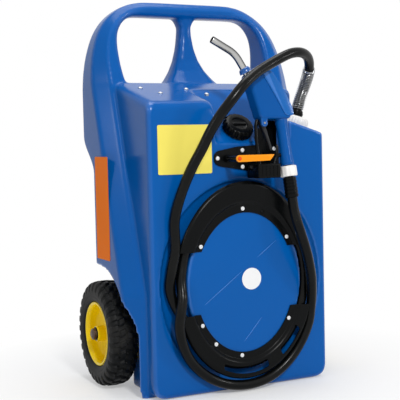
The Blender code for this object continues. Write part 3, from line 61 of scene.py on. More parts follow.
# Handle frame and side rails
RAIL_FOOT_Y = -0.135
RAIL_LEAN = 0.325
RAIL_LEAN_HEIGHT = 0.269
RAIL_CHAMFER = 0.04
BAR_CHAMFER = 0.016
BAR_THICKNESS = 0.043
EDGE_ROUND = 0.013
INSET = 0.001
TANK_CELL = 0.0046
CORE_ROUND = 0.04
STEM_NECK = 0.018
STEM_FOOT = 0.085
STEM_FRONT_Y = 0.13

# Wheels and axle
TYRE_RADIUS = 0.145
TYRE_WIDTH = 0.085
TREAD_DEPTH = 0.006
TREAD_PERIODS, STEPS_PER_PERIOD = 30, 15
TYRE_SLACK = 0.003
RIM_RADIUS = 0.088
HUB_RADIUS = 0.023
HUB_LENGTH = 0.07
BUSH_WALL = 0.003
AXLE_RADIUS = 0.01
AXLE_Y = 0.065
WHEEL_CENTRE_X = 0.2955
RUNNING_CLEARANCE = 0.0005
VALVE_FROM_HUB, VALVE_RADIUS = 0.068, 0.0035
ARCH_RADIUS = 0.187
ARCH_INNER_X = 0.243
AXLE_BAY_Y = 0.02
AXLE_BAY_HEIGHT = 0.19

# Hose hub and channel on the front
HUB_HEIGHT = 0.292
HUB_A = 0.172
HUB_B = 0.205
HUB_PROUD = 0.016
CHANNEL_A = 0.24
CHANNEL_B = 0.27
CHANNEL_DEPTH = 0.01

# Hose guards
GUARD_INNER_A = 0.148
GUARD_INNER_B = 0.186
GUARD_OUTER_A = 0.206
UPPER_GUARD_OUTER_B = 0.267
LOWER_GUARD_OUTER_B = 0.255
GUARD_THICKNESS = 0.003
GUARD_RISE = 0.009
UPPER_GUARD_END, LOWER_GUARD_END = 0.382, 0.218
LOWER_GUARD_SLOTS = ((251, 285, 0.5, 0.82), (297, 319, 0.48, 0.83))
SCREW_SHARE = 0.13
UPPER_SCREW_ANGLES = (92, 142, 42, 74)
LOWER_SCREW_ANGLES = (218, 239, 265, 320)

# Pocket for the filler cap and shoulder for the pump
POCKET_LEFT_X = -0.07
POCKET_RIGHT_X = 0.15
POCKET_FRONT_HEIGHT = 0.66
POCKET_SLOPE = radians(45)
FILLER_X = 0.009
FILLER_UP_SLOPE = 0.05
FILLER_BORE = 0.03
FILLER_CAP_RADIUS = 0.043
FILLER_CAP_HEIGHT = 0.028
SHOULDER_TILT = radians(18)
SHOULDER_BACK_Y = -0.01
PUMP_X = 0.2105
PUMP_Y = -0.105
PUMP_FACE_HEIGHT = 0.7015
PUMP_BORE = 0.024
PUMP_CAP_RADIUS = 0.04
PUMP_CAP_HEIGHT = 0.02
OUTLET_RADIUS = 0.0195
OUTLET_HEIGHT = 0.03

# Hose
HOSE_RADIUS = 0.0135
SPRING_WIRE = 0.0014
SPRING_CLEARANCE = 0.0009
SPRING_TURNS = 21
SPRING_LENGTH = 0.118
HOSE_STEP, FINE_STEP = 0.0045, 0.002

# Nozzle, drawn upright in its own frame and then leaned back
NOZZLE_PIVOT = Vector((0.0, -0.232, 0.58))
NOZZLE_LEAN = radians(8)
SPOUT_RADIUS = 0.0095
SPOUT_WALL = 0.0012
BODY_THICKNESS = 0.044
COVER_THICKNESS = 0.05
GUARD_WIRE = 0.005
TRIGGER_THICKNESS = 0.014
TRIGGER_PIVOT = (0.047, 0.711)
TRIGGER_PIN_RADIUS = 0.003
GRIP_TOP = (0.108, 0.7218)
GRIP_FOOT = (0.1155, 0.5995)
NUT_RADIUS = 0.023
NUT_LENGTH = 0.028
TAIL_RADIUS = 0.018
TAIL_LENGTH = 0.055
NOZZLE_CELL = 0.0013

# Nozzle holder
PLATE_THICKNESS = 0.004
CRADLE_LEFT = 0.016
CRADLE_RIGHT = 0.084
CRADLE_BOTTOM = 0.568
CRADLE_TOP = 0.606
CRADLE_DEPTH = 0.065
CRADLE_WALL = 0.003
LATCH_PIVOT = (-0.044, 0.621)
LATCH_LENGTH = 0.104
LATCH_HEIGHT = 0.018
LATCH_THICKNESS = 0.005
LATCH_PIN_RADIUS = 0.003
LATCH_BOSS_RADIUS = 0.008
TONGUE_TOP = 0.722
TONGUE_LEFT, TONGUE_RIGHT = 0.046, 0.106

# Small parts
SCREW_HEAD_RADIUS = 0.0055
SCREW_HEAD_HEIGHT = 0.003
SCREW_SHANK_RADIUS = 0.0022
LABEL_THICKNESS = 0.0008
LABEL_CORNER = 0.005
INSTRUCTION_PLATE = ((-0.239, 0.584), (-0.085, 0.584), (-0.085, 0.711), (-0.239, 0.711))
SIDE_LABEL = ((-0.017, 0.353), (0.079, 0.353), (0.079, 0.632), (-0.017, 0.632))
ROUND_PLATE = (0.018, 0.3)
INSERT_PLACES = ((-0.212, -0.015), (-0.18, -0.075), (-0.08, -0.024), (-0.048, -0.085))
MOULD_LINES = (((0.0956, 0.3981), (0.036, 0.3555)), ((-0.01, 0.3226), (-0.1223, 0.2424)),
               ((0.0469, 0.1931), (-0.0069, 0.1345)))

# The camera's place and lens
CAMERA_PLACE = (-1.207376, -2.379774 + ORIGIN_SHIFT, 0.659311)
CAMERA_TURN, CAMERA_PITCH, CAMERA_ROLL = 0.458343, 0.058592, -0.022512
CAMERA_LENS, SENSOR_WIDTH = 85.0538, 36

# Lamps: name, place, aim, size, power
LAMPS = (("key", (-0.6, -3.8, 3.0), (0, 0, 0.5), 0.6, 108), ("side", (-3.2, -1.2, 2.2), (0, 0, 0.7), 0.25, 8),
         ("fill", (2.8, -2.6, 1.6), (0, 0, 0.5), 0.4, 20), ("top", (0.1, 0.2, 3.5), (0, 0, 0.4), 1.6, 40))

# Where a flat outline's two axes and its normal go
PLANES = {"XZ": (0, 2, 1), "YZ": (2, 0, 1), "XY": (0, 1, 2)}

MAKING = bpy.context.scene.collection


def tenths(*rows):
    """A list of points, given in tenths of a millimetre, in metres."""
    return [tuple(part / 10000 for part in row) for row in rows]


def beside(x, y, *rows):
    """Points that lie so many tenths of a millimetre from the point (x, y)."""
    return [(x + across, y + up) for across, up in tenths(*rows)]


def faces_out(work):
    """Turn all faces of a closed shape outwards."""
    work.normal_update()
    bmesh.ops.recalc_face_normals(work, faces=work.faces)
    if work.calc_volume(signed=True) < 0:
        bmesh.ops.reverse_faces(work, faces=work.faces)


def linked(name, data):
    """An object in the scene from a mesh, a curve, a lamp or a camera."""
    obj = bpy.data.objects.new(name, data)
    MAKING.objects.link(obj)
    return obj


def as_drawn(name, work):
    """An object from a bmesh, which is used up, with its faces as they are."""
    mesh = bpy.data.meshes.new(name)
    work.to_mesh(mesh)
    work.free()
    return linked(name, mesh)


def mesh_object(name, work):
    """An object from a bmesh, with its faces out."""
    faces_out(work)
    return as_drawn(name, work)


def settle(obj):
    """Replace an object's mesh by what its modifiers make of it."""
    bpy.context.view_layer.update()
    graph = bpy.context.evaluated_depsgraph_get()
    mesh = bpy.data.meshes.new_from_object(obj.evaluated_get(graph))
    obj.modifiers.clear()
    obj.data = mesh
    return obj


def step(obj, kind, **settings):
    """Put a modifier on an object, to be settled later."""
    made = obj.modifiers.new(kind.lower(), kind)
    for key, value in settings.items():
        setattr(made, key, value)
    return obj


def combine(obj, other, operation):
    """Put an object together with another by a Boolean operation."""
    settle(step(obj, "BOOLEAN", operation=operation, object=other, solver="EXACT"))
    bpy.data.objects.remove(other, do_unlink=True)


def join(obj, other):
    """Join an object with another, which is used up."""
    combine(obj, other, "UNION")


def cut(obj, other):
    """Cut an object with another, which is used up."""
    combine(obj, other, "DIFFERENCE")


def round_edges(obj, width, segments, angle=30, chosen=None):
    """Bevel the sharp edges, or with chosen, a function of an edge that gives its share of the width."""
    if chosen:
        work = bmesh.new()
        work.from_mesh(obj.data)
        weights = work.edges.layers.float.new("bevel_weight_edge")
        for edge in work.edges:
            edge[weights] = chosen(edge)
        work.to_mesh(obj.data)
        work.free()
    settle(step(obj, "BEVEL", width=width, segments=segments, limit_method="WEIGHT" if chosen else "ANGLE",
                angle_limit=radians(angle), use_clamp_overlap=True))


def from_curve(curve, name):
    """A mesh object from a curve, with its caps welded."""
    holder = linked(name, curve)
    bpy.context.view_layer.update()
    graph = bpy.context.evaluated_depsgraph_get()
    mesh = bpy.data.meshes.new_from_object(holder.evaluated_get(graph))
    bpy.data.objects.remove(holder, do_unlink=True)
    work = bmesh.new()
    work.from_mesh(mesh)
    bmesh.ops.remove_doubles(work, verts=work.verts, dist=1e-6)
    return mesh_object(name, work)


def flat_piece(name, outlines, low, high, plane="XZ"):
    """A flat outline, given as lists of points, made solid from low to high along the plane's normal."""
    curve = bpy.data.curves.new(name, "CURVE")
    curve.dimensions = "2D"
    curve.fill_mode = "BOTH"
    curve.extrude = (high - low) / 2
    for outline in outlines:
        spline = curve.splines.new("POLY")
        spline.points.add(len(outline) - 1)
        for point, (across, up) in zip(spline.points, outline):
            point.co = (across, up, 0, 1)
        spline.use_cyclic_u = True
    obj = from_curve(curve, name)
    work = bmesh.new()
    work.from_mesh(obj.data)
    bmesh.ops.dissolve_limit(work, angle_limit=radians(0.5), verts=work.verts, edges=work.edges)
    middle = (low + high) / 2
    for vert in work.verts:
        place = (vert.co.x, vert.co.y, vert.co.z + middle)
        vert.co = [place[k] for k in PLANES[plane]]
    faces_out(work)
    work.to_mesh(obj.data)
    work.free()
    return obj


def box(name, low, high):
    """A box between two corners."""
    work = bmesh.new()
    bmesh.ops.create_cube(work, size=1)
    for vert in work.verts:
        vert.co = [low[i] + (high[i] - low[i]) * (vert.co[i] + 0.5) for i in range(3)]
    return mesh_object(name, work)


def turned(name, profile, origin, direction=(0, 0, 1), steps=32):
    """A round piece: a profile of (radius, distance) points, screwed round the axis from origin along direction."""
    work = bmesh.new()
    points = [work.verts.new((radius, 0, along)) for radius, along in profile]
    closed = profile[0][0] > 0 and profile[-1][0] > 0
    for first, second in zip(points, points[1:]):
        work.edges.new((first, second))
    if closed:
        work.edges.new((points[-1], points[0]))
    obj = as_drawn(name, work)
    settle(step(obj, "SCREW", steps=steps, render_steps=steps, use_merge_vertices=True, merge_threshold=0.00001))
    work = bmesh.new()
    work.from_mesh(obj.data)
    bmesh.ops.remove_doubles(work, verts=work.verts, dist=1e-6)
    faces_out(work)
    turn = Vector((0, 0, 1)).rotation_difference(Vector(direction).normalized()).to_matrix().to_4x4()
    work.transform(Matrix.Translation(origin) @ turn)
    work.to_mesh(obj.data)
    work.free()
    return obj


def rod(name, start, end, radius, steps=20):
    """A plain round bar between two points."""
    axis = Vector(end) - Vector(start)
    return turned(name, [(0, axis.length), (radius, axis.length), (radius, 0), (0, 0)], start, axis, steps)


def loft(name, rings, joined=False):
    """A closed solid through rings of points of one count: capped, or with joined the last meets the first."""
    work = bmesh.new()
    rows = [[work.verts.new(point) for point in ring] for ring in rings]
    count = len(rows[0])
    for first, second in zip(rows, rows[1:] + rows[:1] * joined):
        for i in range(count):
            j = (i + 1) % count
            work.faces.new((first[i], first[j], second[j], second[i]))
    if not joined:
        work.faces.new(rows[0])
        work.faces.new(rows[-1])
    return mesh_object(name, work)


def smooth_route(points, spacing):
    """Evenly spaced points on a smooth curve through the given points, and the curve's length."""
    given = [Vector(point) for point in points]
    given = [2 * given[0] - given[1], *given, 2 * given[-1] - given[-2]]
    dense = []
    for a, b, c, d in zip(given, given[1:], given[2:], given[3:]):
        knots = [0.0]
        for first, second in ((a, b), (b, c), (c, d)):
            knots.append(knots[-1] + sqrt((second - first).length))
        for k in range(24):
            t = knots[1] + (knots[2] - knots[1]) * k / 24
            low = [a.lerp(b, t / knots[1]), b.lerp(c, (t - knots[1]) / (knots[2] - knots[1])),
                   c.lerp(d, (t - knots[2]) / (knots[3] - knots[2]))]
            mid = [low[0].lerp(low[1], t / knots[2]), low[1].lerp(low[2], (t - knots[1]) / (knots[3] - knots[1]))]
            dense.append(mid[0].lerp(mid[1], (t - knots[1]) / (knots[2] - knots[1])))
    dense.append(given[-2].copy())
    lengths = [0.0]
    for first, second in zip(dense, dense[1:]):
        lengths.append(lengths[-1] + (second - first).length)
    wanted = np.linspace(0.0, lengths[-1], max(2, round(lengths[-1] / spacing) + 1))
    columns = [np.interp(wanted, lengths, [point[i] for point in dense]) for i in range(len(given[0]))]
    return [Vector(point) for point in zip(*columns)], lengths[-1]


def on_line(points, distance):
    """A place on a line of points, with the line's smoothed direction and its own direction there."""
    steps = [(second - first).length for first, second in zip(points, points[1:])]
    ways = [(second - first).normalized() for first, second in zip(points, points[1:])]
    i = 0
    while i < len(steps) - 1 and distance > steps[i]:
        distance -= steps[i]
        i += 1
    share = distance / steps[i]
    other = max(0, i - 1) if share < 0.5 else min(len(ways) - 1, i + 1)
    smooth_way = ways[i].lerp(ways[other], abs(share - 0.5)).normalized()
    return points[i].lerp(points[i + 1], share), smooth_way, ways[i]


def ellipse(half_width, half_height):
    """Points of an upright ellipse round the hub's centre."""
    turns = [2 * pi * i / 96 for i in range(96)]
    return [(half_width * cos(t), HUB_HEIGHT + half_height * sin(t)) for t in turns]


def ellipse_radius(half_width, half_height, angle):
    """Distance from an ellipse's centre to its edge in a direction."""
    return 1 / hypot(cos(angle) / half_width, sin(angle) / half_height)


def rail_front(height):
    """The leaning front edge of the side rails and the handle frame."""
    return RAIL_FOOT_Y + max(0.0, RAIL_LEAN * (height - RAIL_LEAN_HEIGHT))


def rear(height):
    """The rear face: low wall, then a soft sweep back to the handle."""
    share = (height - OVERHANG_START) / (OVERHANG_FULL - OVERHANG_START)
    share = min(1.0, max(0.0, share))
    return LOW_REAR_Y + (HANDLE_REAR_Y - LOW_REAR_Y) * (1 - cos(pi * share)) / 2


def handle_stations():
    """Pairs of an outer and an inner point of the handle frame in the XZ plane, from the left foot to the middle."""
    half = BODY_HALF_WIDTH
    top = TOTAL_HEIGHT
    window_top = TOTAL_HEIGHT - BAR_THICKNESS
    straight = (0.02, RAIL_LEAN_HEIGHT, 0.42, OVERHANG_START, 0.62, 0.655, OVERHANG_FULL)
    return [
        ((half - 0.006, 0.0), (0.2, 0.0)),
        *(((half, height), (0.2, height)) for height in straight),
        ((half, 0.8), (0.205, 0.8)),
        ((half - 0.0005, SHELF_HEIGHT), (0.222, SHELF_HEIGHT)),
        ((half - 0.004, 0.87), (0.229, 0.87)),
        ((half - 0.01, 0.905), (0.2315, 0.905)),
        ((half - 0.021, 0.945), (0.231, 0.94)),
        ((half - 0.037, 0.982), (0.226, 0.971)),
        ((half - 0.06, 1.014), (0.214, 0.996)),
        ((half - 0.091, top - 0.03), (0.196, 1.015)),
        ((half - 0.128, top - 0.011), (0.172, window_top - 0.002)),
        ((half - 0.167, top - 0.002), (0.142, window_top)),
        ((0.09, top), (0.09, window_top)),
        ((0.045, top), (0.045, window_top)),
    ]


def handle_section(outer, inner, side):
    """One ring of the frame: chamfered at its outer front edge and rounded at the others."""
    outer_x, outer_z = outer
    inner_x, inner_z = inner
    height = (outer_z + inner_z) / 2
    front, back = rail_front(height), rear(height)
    share = min(1.0, max(0.0, (height - SHELF_HEIGHT) / (TOTAL_HEIGHT - BAR_THICKNESS / 2 - SHELF_HEIGHT)))
    chamfer = RAIL_CHAMFER + (BAR_CHAMFER - RAIL_CHAMFER) * share
    across = hypot(inner_x - outer_x, inner_z - outer_z)
    r = EDGE_ROUND
    soft = 0.3
    ring = [(0, chamfer + 0.006), (0.0015, chamfer), (chamfer, 0.0015), (chamfer + 0.006, 0)]
    ring += [(across - r, 0), (across - r * soft, r * soft), (across, r)]
    ring += [(across, back - front - r), (across - r * soft, back - front - r * soft), (across - r, back - front)]
    ring += [(r, back - front), (r * soft, back - front - r * soft), (0, back - front - r)]
    points = []
    for inward, deep in ring:
        share = inward / across
        x = outer_x + (inner_x - outer_x) * share
        z = outer_z + (inner_z - outer_z) * share
        points.append((side * x, front + deep, z))
    return points


def stem():
    """The flared stem between the shelf and the top bar."""
    window_top = TOTAL_HEIGHT - BAR_THICKNESS
    rows = [
        (SHELF_HEIGHT - 0.03, STEM_FOOT + 0.022, SHELF_KNEE_Y + 0.01),
        (SHELF_HEIGHT, STEM_FOOT, SHELF_KNEE_Y + 0.018),
        (0.85, 0.07, 0.086),
        (0.875, 0.052, 0.104),
        (0.905, 0.037, 0.118),
        (0.94, 0.026, STEM_FRONT_Y - 0.004),
        (0.975, STEM_NECK + 0.002, STEM_FRONT_Y),
        (1.003, STEM_NECK, STEM_FRONT_Y),
        (1.018, STEM_NECK + 0.008, STEM_FRONT_Y - 0.001),
        (window_top + 0.012, STEM_NECK + 0.026, STEM_FRONT_Y - 0.002),
    ]
    rings = []
    for height, half, front in rows:
        middle, deep = (front + HANDLE_REAR_Y - 0.002) / 2, (HANDLE_REAR_Y - 0.002 - front) / 2
        ring = []
        for i in range(16):
            turn = 2 * pi * (i + 0.5) / 16
            c, s = cos(turn), sin(turn)
            ring.append((half * copysign(abs(c) ** 0.6, c), middle + deep * copysign(abs(s) ** 0.6, s), height))
        rings.append(ring)
    return loft("stem", rings)


def core_outline():
    """The tank's side view."""
    heights = [OVERHANG_FULL - (OVERHANG_FULL - OVERHANG_START) * i / 5 for i in range(6)]
    points = [(FRONT_Y, 0.0), (FRONT_Y, SHELF_FRONT_HEIGHT), (SHELF_KNEE_Y, SHELF_HEIGHT),
              (HANDLE_REAR_Y - INSET, SHELF_HEIGHT)]
    points += [(rear(height) - INSET, height) for height in heights]
    return points + [(LOW_REAR_Y - INSET, AXLE_BAY_HEIGHT), (AXLE_BAY_Y, AXLE_BAY_HEIGHT), (AXLE_BAY_Y, 0.0)]


def pocket_cutter():
    """Cuts the slope that carries the filler cap."""
    rise = tan(POCKET_SLOPE)
    start_y, start_z = FRONT_Y - 0.06, POCKET_FRONT_HEIGHT - 0.06 * rise
    end_y = -0.03
    outline = [(start_y, start_z), (end_y, start_z + (end_y - start_y) * rise), (end_y, 1.0), (start_y, 1.0)]
    return flat_piece("pocket", [outline], POCKET_LEFT_X, POCKET_RIGHT_X + 0.002, "YZ")


def shoulder_cutter():
    """Cuts the sloping shoulder that carries the pump; its lower face is the pump's seat."""
    lean = tan(SHOULDER_TILT)
    left, right = POCKET_RIGHT_X, BODY_HALF_WIDTH + 0.05

    def height(x):
        return PUMP_FACE_HEIGHT - (x - PUMP_X) * lean

    outline = [(left, height(left)), (right, height(right)), (right, 1.0), (left, 1.0)]
    return flat_piece("shoulder", [outline], FRONT_Y - 0.06, SHOULDER_BACK_Y)


def arch_cutter(side):
    """Cuts one wheel arch, open below and behind."""
    radius = ARCH_RADIUS
    outline = [(AXLE_Y - radius, -0.02)]
    for i in range(15):
        turn = pi - pi / 2 * i / 14
        outline.append((AXLE_Y + radius * cos(turn), TYRE_RADIUS + radius * sin(turn)))
    outline += [(LOW_REAR_Y - 0.02, TYRE_RADIUS + radius), (LOW_REAR_Y + 0.006, TYRE_RADIUS + radius + 0.006)]
    outline += [(LOW_REAR_Y + 0.08, TYRE_RADIUS + radius + 0.03), (LOW_REAR_Y + 0.08, -0.02)]
    near, far = ARCH_INNER_X, BODY_HALF_WIDTH + 0.05
    low, high = (near, far) if side > 0 else (-far, -near)
    return flat_piece("arch", [outline], low, high, "YZ")


def filler_point(out=0.0):
    """A point on the filler cap's axis, so far outside the slope."""
    along, rise = cos(POCKET_SLOPE), sin(POCKET_SLOPE)
    return Vector((FILLER_X, FRONT_Y + FILLER_UP_SLOPE * along - out * rise,
                   POCKET_FRONT_HEIGHT + FILLER_UP_SLOPE * rise + out * along))


def filler_axis():
    """The direction out of the filler neck."""
    return Vector((0, -sin(POCKET_SLOPE), cos(POCKET_SLOPE)))


def pump_axis():
    """The direction out of the pump neck."""
    return Vector((sin(SHOULDER_TILT), 0, cos(SHOULDER_TILT)))


def pump_point(out=0.0):
    """A point on the pump's axis, so far outside the shoulder."""
    return Vector((PUMP_X, PUMP_Y, PUMP_FACE_HEIGHT)) + pump_axis() * out


def guard_edges(turn, outer_b):
    """How far a guard's inner and outer edges lie from the hub's centre."""
    return ellipse_radius(GUARD_INNER_A, GUARD_INNER_B, turn), ellipse_radius(GUARD_OUTER_A, outer_b, turn)


def across_guard(turn, share, outer_b):
    """X and height of a point that lies so far across a guard, from its inner to its outer edge."""
    inner, outer = guard_edges(turn, outer_b)
    radius = inner + (outer - inner) * share
    return radius * cos(turn), HUB_HEIGHT + radius * sin(turn)


def guard_screw_places():
    """Where the guards are screwed to the hub: X and height, the upper guard's first."""
    bands = ((UPPER_SCREW_ANGLES, UPPER_GUARD_OUTER_B), (LOWER_SCREW_ANGLES, LOWER_GUARD_OUTER_B))
    return [across_guard(radians(degrees), SCREW_SHARE, outer_b) for angles, outer_b in bands for degrees in angles]


def plate_screw_places():
    """Where the holder plate is screwed to the tank: X and height."""
    return tenths((-700, 6220), (40, 6420), (40, 5980), (1010, 6440), (1010, 5860))


def hose_route():
    """The hose's centre line, from the pump outlet over the front, round the hub and up to the nozzle."""
    start = pump_point(PUMP_CAP_HEIGHT + OUTLET_HEIGHT + 3 * GAP)
    out = pump_axis()
    foot, aim = tail_end()
    face = FRONT_Y - HOSE_RADIUS - GAP
    floor = FRONT_Y + CHANNEL_DEPTH - HOSE_RADIUS - GAP
    off_hub = HOSE_RADIUS + 0.0025
    side = HUB_A + off_hub
    wide = side + 2 * HOSE_RADIUS + 0.001
    low = HOSE_RADIUS + 0.003

    def wound(degrees, radius, y):
        turn = radians(degrees)
        return (radius * cos(turn), y, HUB_HEIGHT + radius * sin(turn))

    def beside_hub(degrees, y=floor, out_by=0.0):
        radius = ellipse_radius(HUB_A, HUB_B, radians(degrees))
        return wound(degrees, radius + off_hub + out_by, y)

    over = [start, start + out * 0.0135, start + out * 0.027,
            *tenths((2415, -1096, 8000), (2454, -1197, 8234), (2447, -1338, 8450), (2390, -1506, 8639),
                    (2277, -1684, 8796), (2110, -1861, 8913), (1894, -2021, 8983), (1642, -2147, 8999),
                    (1371, -2220, 8961), (1106, -2265, 8867), (610, -2335, 8635), (147, -2463, 8399),
                    (-268, -2575, 8105), (-619, -2590, 7737), (-922, -2495, 7342), (-1167, -2375, 6912),
                    (-1377, -2267, 6458), (-1602, -2157, 6009), (-1880, -2030, 5300)), (-0.203, face - 0.002, 0.468)]
    first = [wound(154, 0.2255, face), wound(167, 0.2175, face + 0.003), wound(180, wide, floor),
             wound(190, 0.2095, floor), wound(200, 0.201, floor)]
    first += [beside_hub(degrees) for degrees in range(211, 391, 12)]
    first += [beside_hub(degrees, out_by=0.003) for degrees in range(403, 505, 12)]
    cross = [beside_hub(512), wound(523, side, floor - 0.001), wound(534, side, floor - 0.007),
             wound(541, side + 0.0005, floor - 0.014), wound(548, 0.1935, floor - 0.0235),
             wound(556, 0.2065, floor - 0.029), wound(565, 0.225, floor - 0.029), wound(575, 0.24, floor - 0.0255)]
    second = [wound(588, 0.2545, face - 0.006), wound(602, 0.2655, face - 0.001), wound(616, 0.273, face),
              wound(630, HUB_HEIGHT - low, face), wound(644, 0.273, face), wound(658, 0.2625, face),
              wound(673, 0.248, face), wound(687, 0.234, face - 0.0005)]
    up = tenths((2015, -1975, 2040), (1995, -2060, 2350), (1930, -2180, 2660), (1845, -2295, 2970), (1735, -2390, 3280),
                (1620, -2465, 3590), (1500, -2505, 3907), (1380, -2520, 4221), (1283, -2498, 4539))
    end = [foot + aim * 0.027, foot + aim * 0.0135, foot]
    return over + first + cross + second + up + end


def nozzle_matrix():
    """Leans the nozzle back about a line under its swivel."""
    turn = Matrix.Rotation(-NOZZLE_LEAN, 4, "X")
    return Matrix.Translation(NOZZLE_PIVOT) @ turn @ Matrix.Translation(-Vector((0, 0, NOZZLE_PIVOT.z)))


def flat_point(point):
    """A point of the nozzle's side view, in its middle plane."""
    return Vector((point[0], 0, point[1]))


def grip_axis():
    """Direction from the grip's top to its foot, in the nozzle's own frame."""
    return (flat_point(GRIP_FOOT) - flat_point(GRIP_TOP)).normalized()


def tail_end():
    """Where the hose meets the hose tail and the direction in which it leaves, in the world."""
    along = grip_axis()
    foot = flat_point(GRIP_FOOT) + along * (0.004 + NUT_LENGTH + TAIL_LENGTH + GAP)
    place = nozzle_matrix()
    return place @ foot, (place.to_3x3() @ along).normalized()


def leaned(obj):
    """Move a nozzle piece from its own frame to its place."""
    obj.data.transform(nozzle_matrix())
    return obj


# Materials

def maths(operation, *values):
    """The result of one Math node on numbers and signals."""
    tree = next(value.tree for value in values if isinstance(value, Signal))
    node = tree.nodes.new("ShaderNodeMath")
    node.operation = operation
    for place, value in zip(node.inputs, values):
        if isinstance(value, Signal):
            tree.links.new(value.socket, place)
        else:
            place.default_value = value
    return Signal(tree, node.outputs[0])


class Signal:
    """A node's output that can be reckoned with like a number."""

    def __init__(self, tree, socket):
        self.tree, self.socket = tree, socket

    def __add__(self, other):
        return maths("ADD", self, other)

    def __radd__(self, other):
        return maths("ADD", other, self)

    def __sub__(self, other):
        return maths("SUBTRACT", self, other)

    def __rsub__(self, other):
        return maths("SUBTRACT", other, self)

    def __mul__(self, other):
        return maths("MULTIPLY", self, other)

    def __rmul__(self, other):
        return maths("MULTIPLY", other, self)

    def __truediv__(self, other):
        return maths("DIVIDE", self, other)

    def __rtruediv__(self, other):
        return maths("DIVIDE", other, self)

    def __pow__(self, other):
        return maths("POWER", self, other)

    def held(self):
        """The signal kept between 0 and 1."""
        return maths("MINIMUM", maths("MAXIMUM", self, 0.0), 1.0)


class Nodes:
    """A tree of shader nodes."""

    def __init__(self, tree):
        self.tree = tree

    def node(self, kind, settings, sockets, output=0):
        """Any node, with its settings first and then its sockets' values or links."""
        made = self.tree.nodes.new(kind)
        for key, value in settings.items():
            setattr(made, key, value)
        for key, value in sockets.items():
            if isinstance(value, Signal):
                self.tree.links.new(value.socket, made.inputs[key])
            else:
                made.inputs[key].default_value = value
        return Signal(self.tree, made.outputs[output]) if made.outputs else None

    def mixed(self, share, low, high):
        """A mix of two shaders."""
        return self.node("ShaderNodeMixShader", {}, {0: share, 1: low, 2: high})

    def white_rays(self):
        """1 for camera, glossy and transmission rays, which see plain white, and 0 for the others."""
        kinds = ("Is Camera Ray", "Is Glossy Ray", "Is Transmission Ray")
        direct, glossy, through = (self.node("ShaderNodeLightPath", {}, {}, kind) for kind in kinds)
        return (direct + glossy + through).held()


class Finish(Nodes):
    """A material made of nodes."""

    def __init__(self, name, sockets):
        self.material = bpy.data.materials.new(name)
        self.material.use_nodes = True
        super().__init__(self.material.node_tree)
        self.shader = self.tree.nodes["Principled BSDF"]
        for key, value in sockets.items():
            self.shader.inputs[key].default_value = value
        self.place = self.node("ShaderNodeTexCoord", {}, {}, "Object")

    def noise(self, scale, detail=2.0, stretch=None):
        """Noise at the object's own scale, perhaps stretched along an axis."""
        place = self.place
        if stretch:
            place = self.node("ShaderNodeVectorMath", {"operation": "MULTIPLY"}, {0: place, 1: stretch})
        return self.node("ShaderNodeTexNoise", {}, {"Vector": place, "Scale": scale, "Detail": detail})

    def blend(self, share, low, high):
        """A colour between two colours."""
        return self.node("ShaderNodeMix", {"data_type": "RGBA"}, {0: share, 6: low, 7: high}, 2)

    def feed(self, socket, signal):
        """Link a signal to one of the shader's sockets."""
        self.tree.links.new(signal.socket, self.shader.inputs[socket])

    def bump(self, height, distance, strength=1.0):
        """Small relief from a signal."""
        relief = self.node("ShaderNodeBump", {}, {"Height": height, "Distance": distance, "Strength": strength})
        self.feed("Normal", relief)


def tint(colour, by):
    """A colour made lighter or darker."""
    return tuple(min(1.0, part * by) for part in colour[:3]) + (1.0,)


def plastic(name, colour, roughness, grain=700.0, depth=0.00012, spread=0.1, scuff=0.05, specular=0.5, painted_highlight_and_coat=0.0):
    """Moulded plastic: a faint cloud in the colour, an uneven gloss, a fine grain and a few light scuffs; with its last
    argument above 0, sharp convex edges get a painted highlight, a lighter colour, and a clear coat.
    """
    made = Finish(name, {"Specular IOR Level": specular})
    cloud = made.noise(5.0, 3.0)
    speck = made.noise(60.0, 4.0)
    scratch = made.noise(90.0, 3.0, (1.0, 1.0, 0.16))
    worn = ((scratch - 0.66) * 9.0).held() * ((cloud - 0.46) * 5.0).held()
    base = made.blend(cloud, tint(colour, 1 - spread), tint(colour, 1 + spread))
    base = made.blend(worn * scuff * 2, base, tint(colour, 1.6))
    if painted_highlight_and_coat > 0:
        # Painted highlight: the colour is made lighter on sharp convex edges, found by pointiness; the same edges also
        # get a clear coat.
        edge_coat_and_painted_highlight = ((made.node("ShaderNodeNewGeometry", {}, {}, "Pointiness") - 0.512) * 32.0).held()
        base = made.blend(edge_coat_and_painted_highlight * 0.55, base, tuple(min(1.0, part * 1.5 + 0.02) for part in colour) + (1.0,))
        made.feed("Coat Weight", edge_coat_and_painted_highlight * painted_highlight_and_coat)
        made.shader.inputs["Coat Roughness"].default_value = 0.22
    made.feed("Base Color", base)
    made.feed("Roughness", roughness - 0.05 + speck * 0.1 + worn * scuff)
    made.bump(made.noise(grain, 2.0) * 0.6 + made.noise(grain * 0.24, 2.0) * 0.4, depth, 0.5)
    return made.material


def soft_black(name, colour, roughness, dust, grain, depth, specular):
    """Rubber: matt, finely grained, with a little pale dust."""
    made = Finish(name, {"Specular IOR Level": specular})
    film = ((made.noise(14.0, 5.0) - 0.45) * 3.0).held()
    made.feed("Base Color", made.blend(film * dust, colour, (0.32, 0.3, 0.27, 1)))
    made.feed("Roughness", roughness + film * 0.12 - made.noise(70.0, 2.0) * 0.06)
    made.bump(made.noise(grain, 3.0), depth, 0.5)
    return made.material


def metal(name, colour, roughness, brushed, scale):
    """Bright or zinc-plated metal with fine brush marks and handling marks."""
    made = Finish(name, {"Metallic": 1.0})
    lines = made.noise(scale, 3.0, brushed)
    mark = made.noise(24.0, 4.0)
    made.feed("Base Color", made.blend(mark, tint(colour, 0.86), tint(colour, 1.08)))
    made.feed("Roughness", roughness - 0.06 + lines * 0.1 + ((mark - 0.5) * 3.0).held() * 0.08)
    made.bump(lines, 0.00006, 0.4)
    return made.material


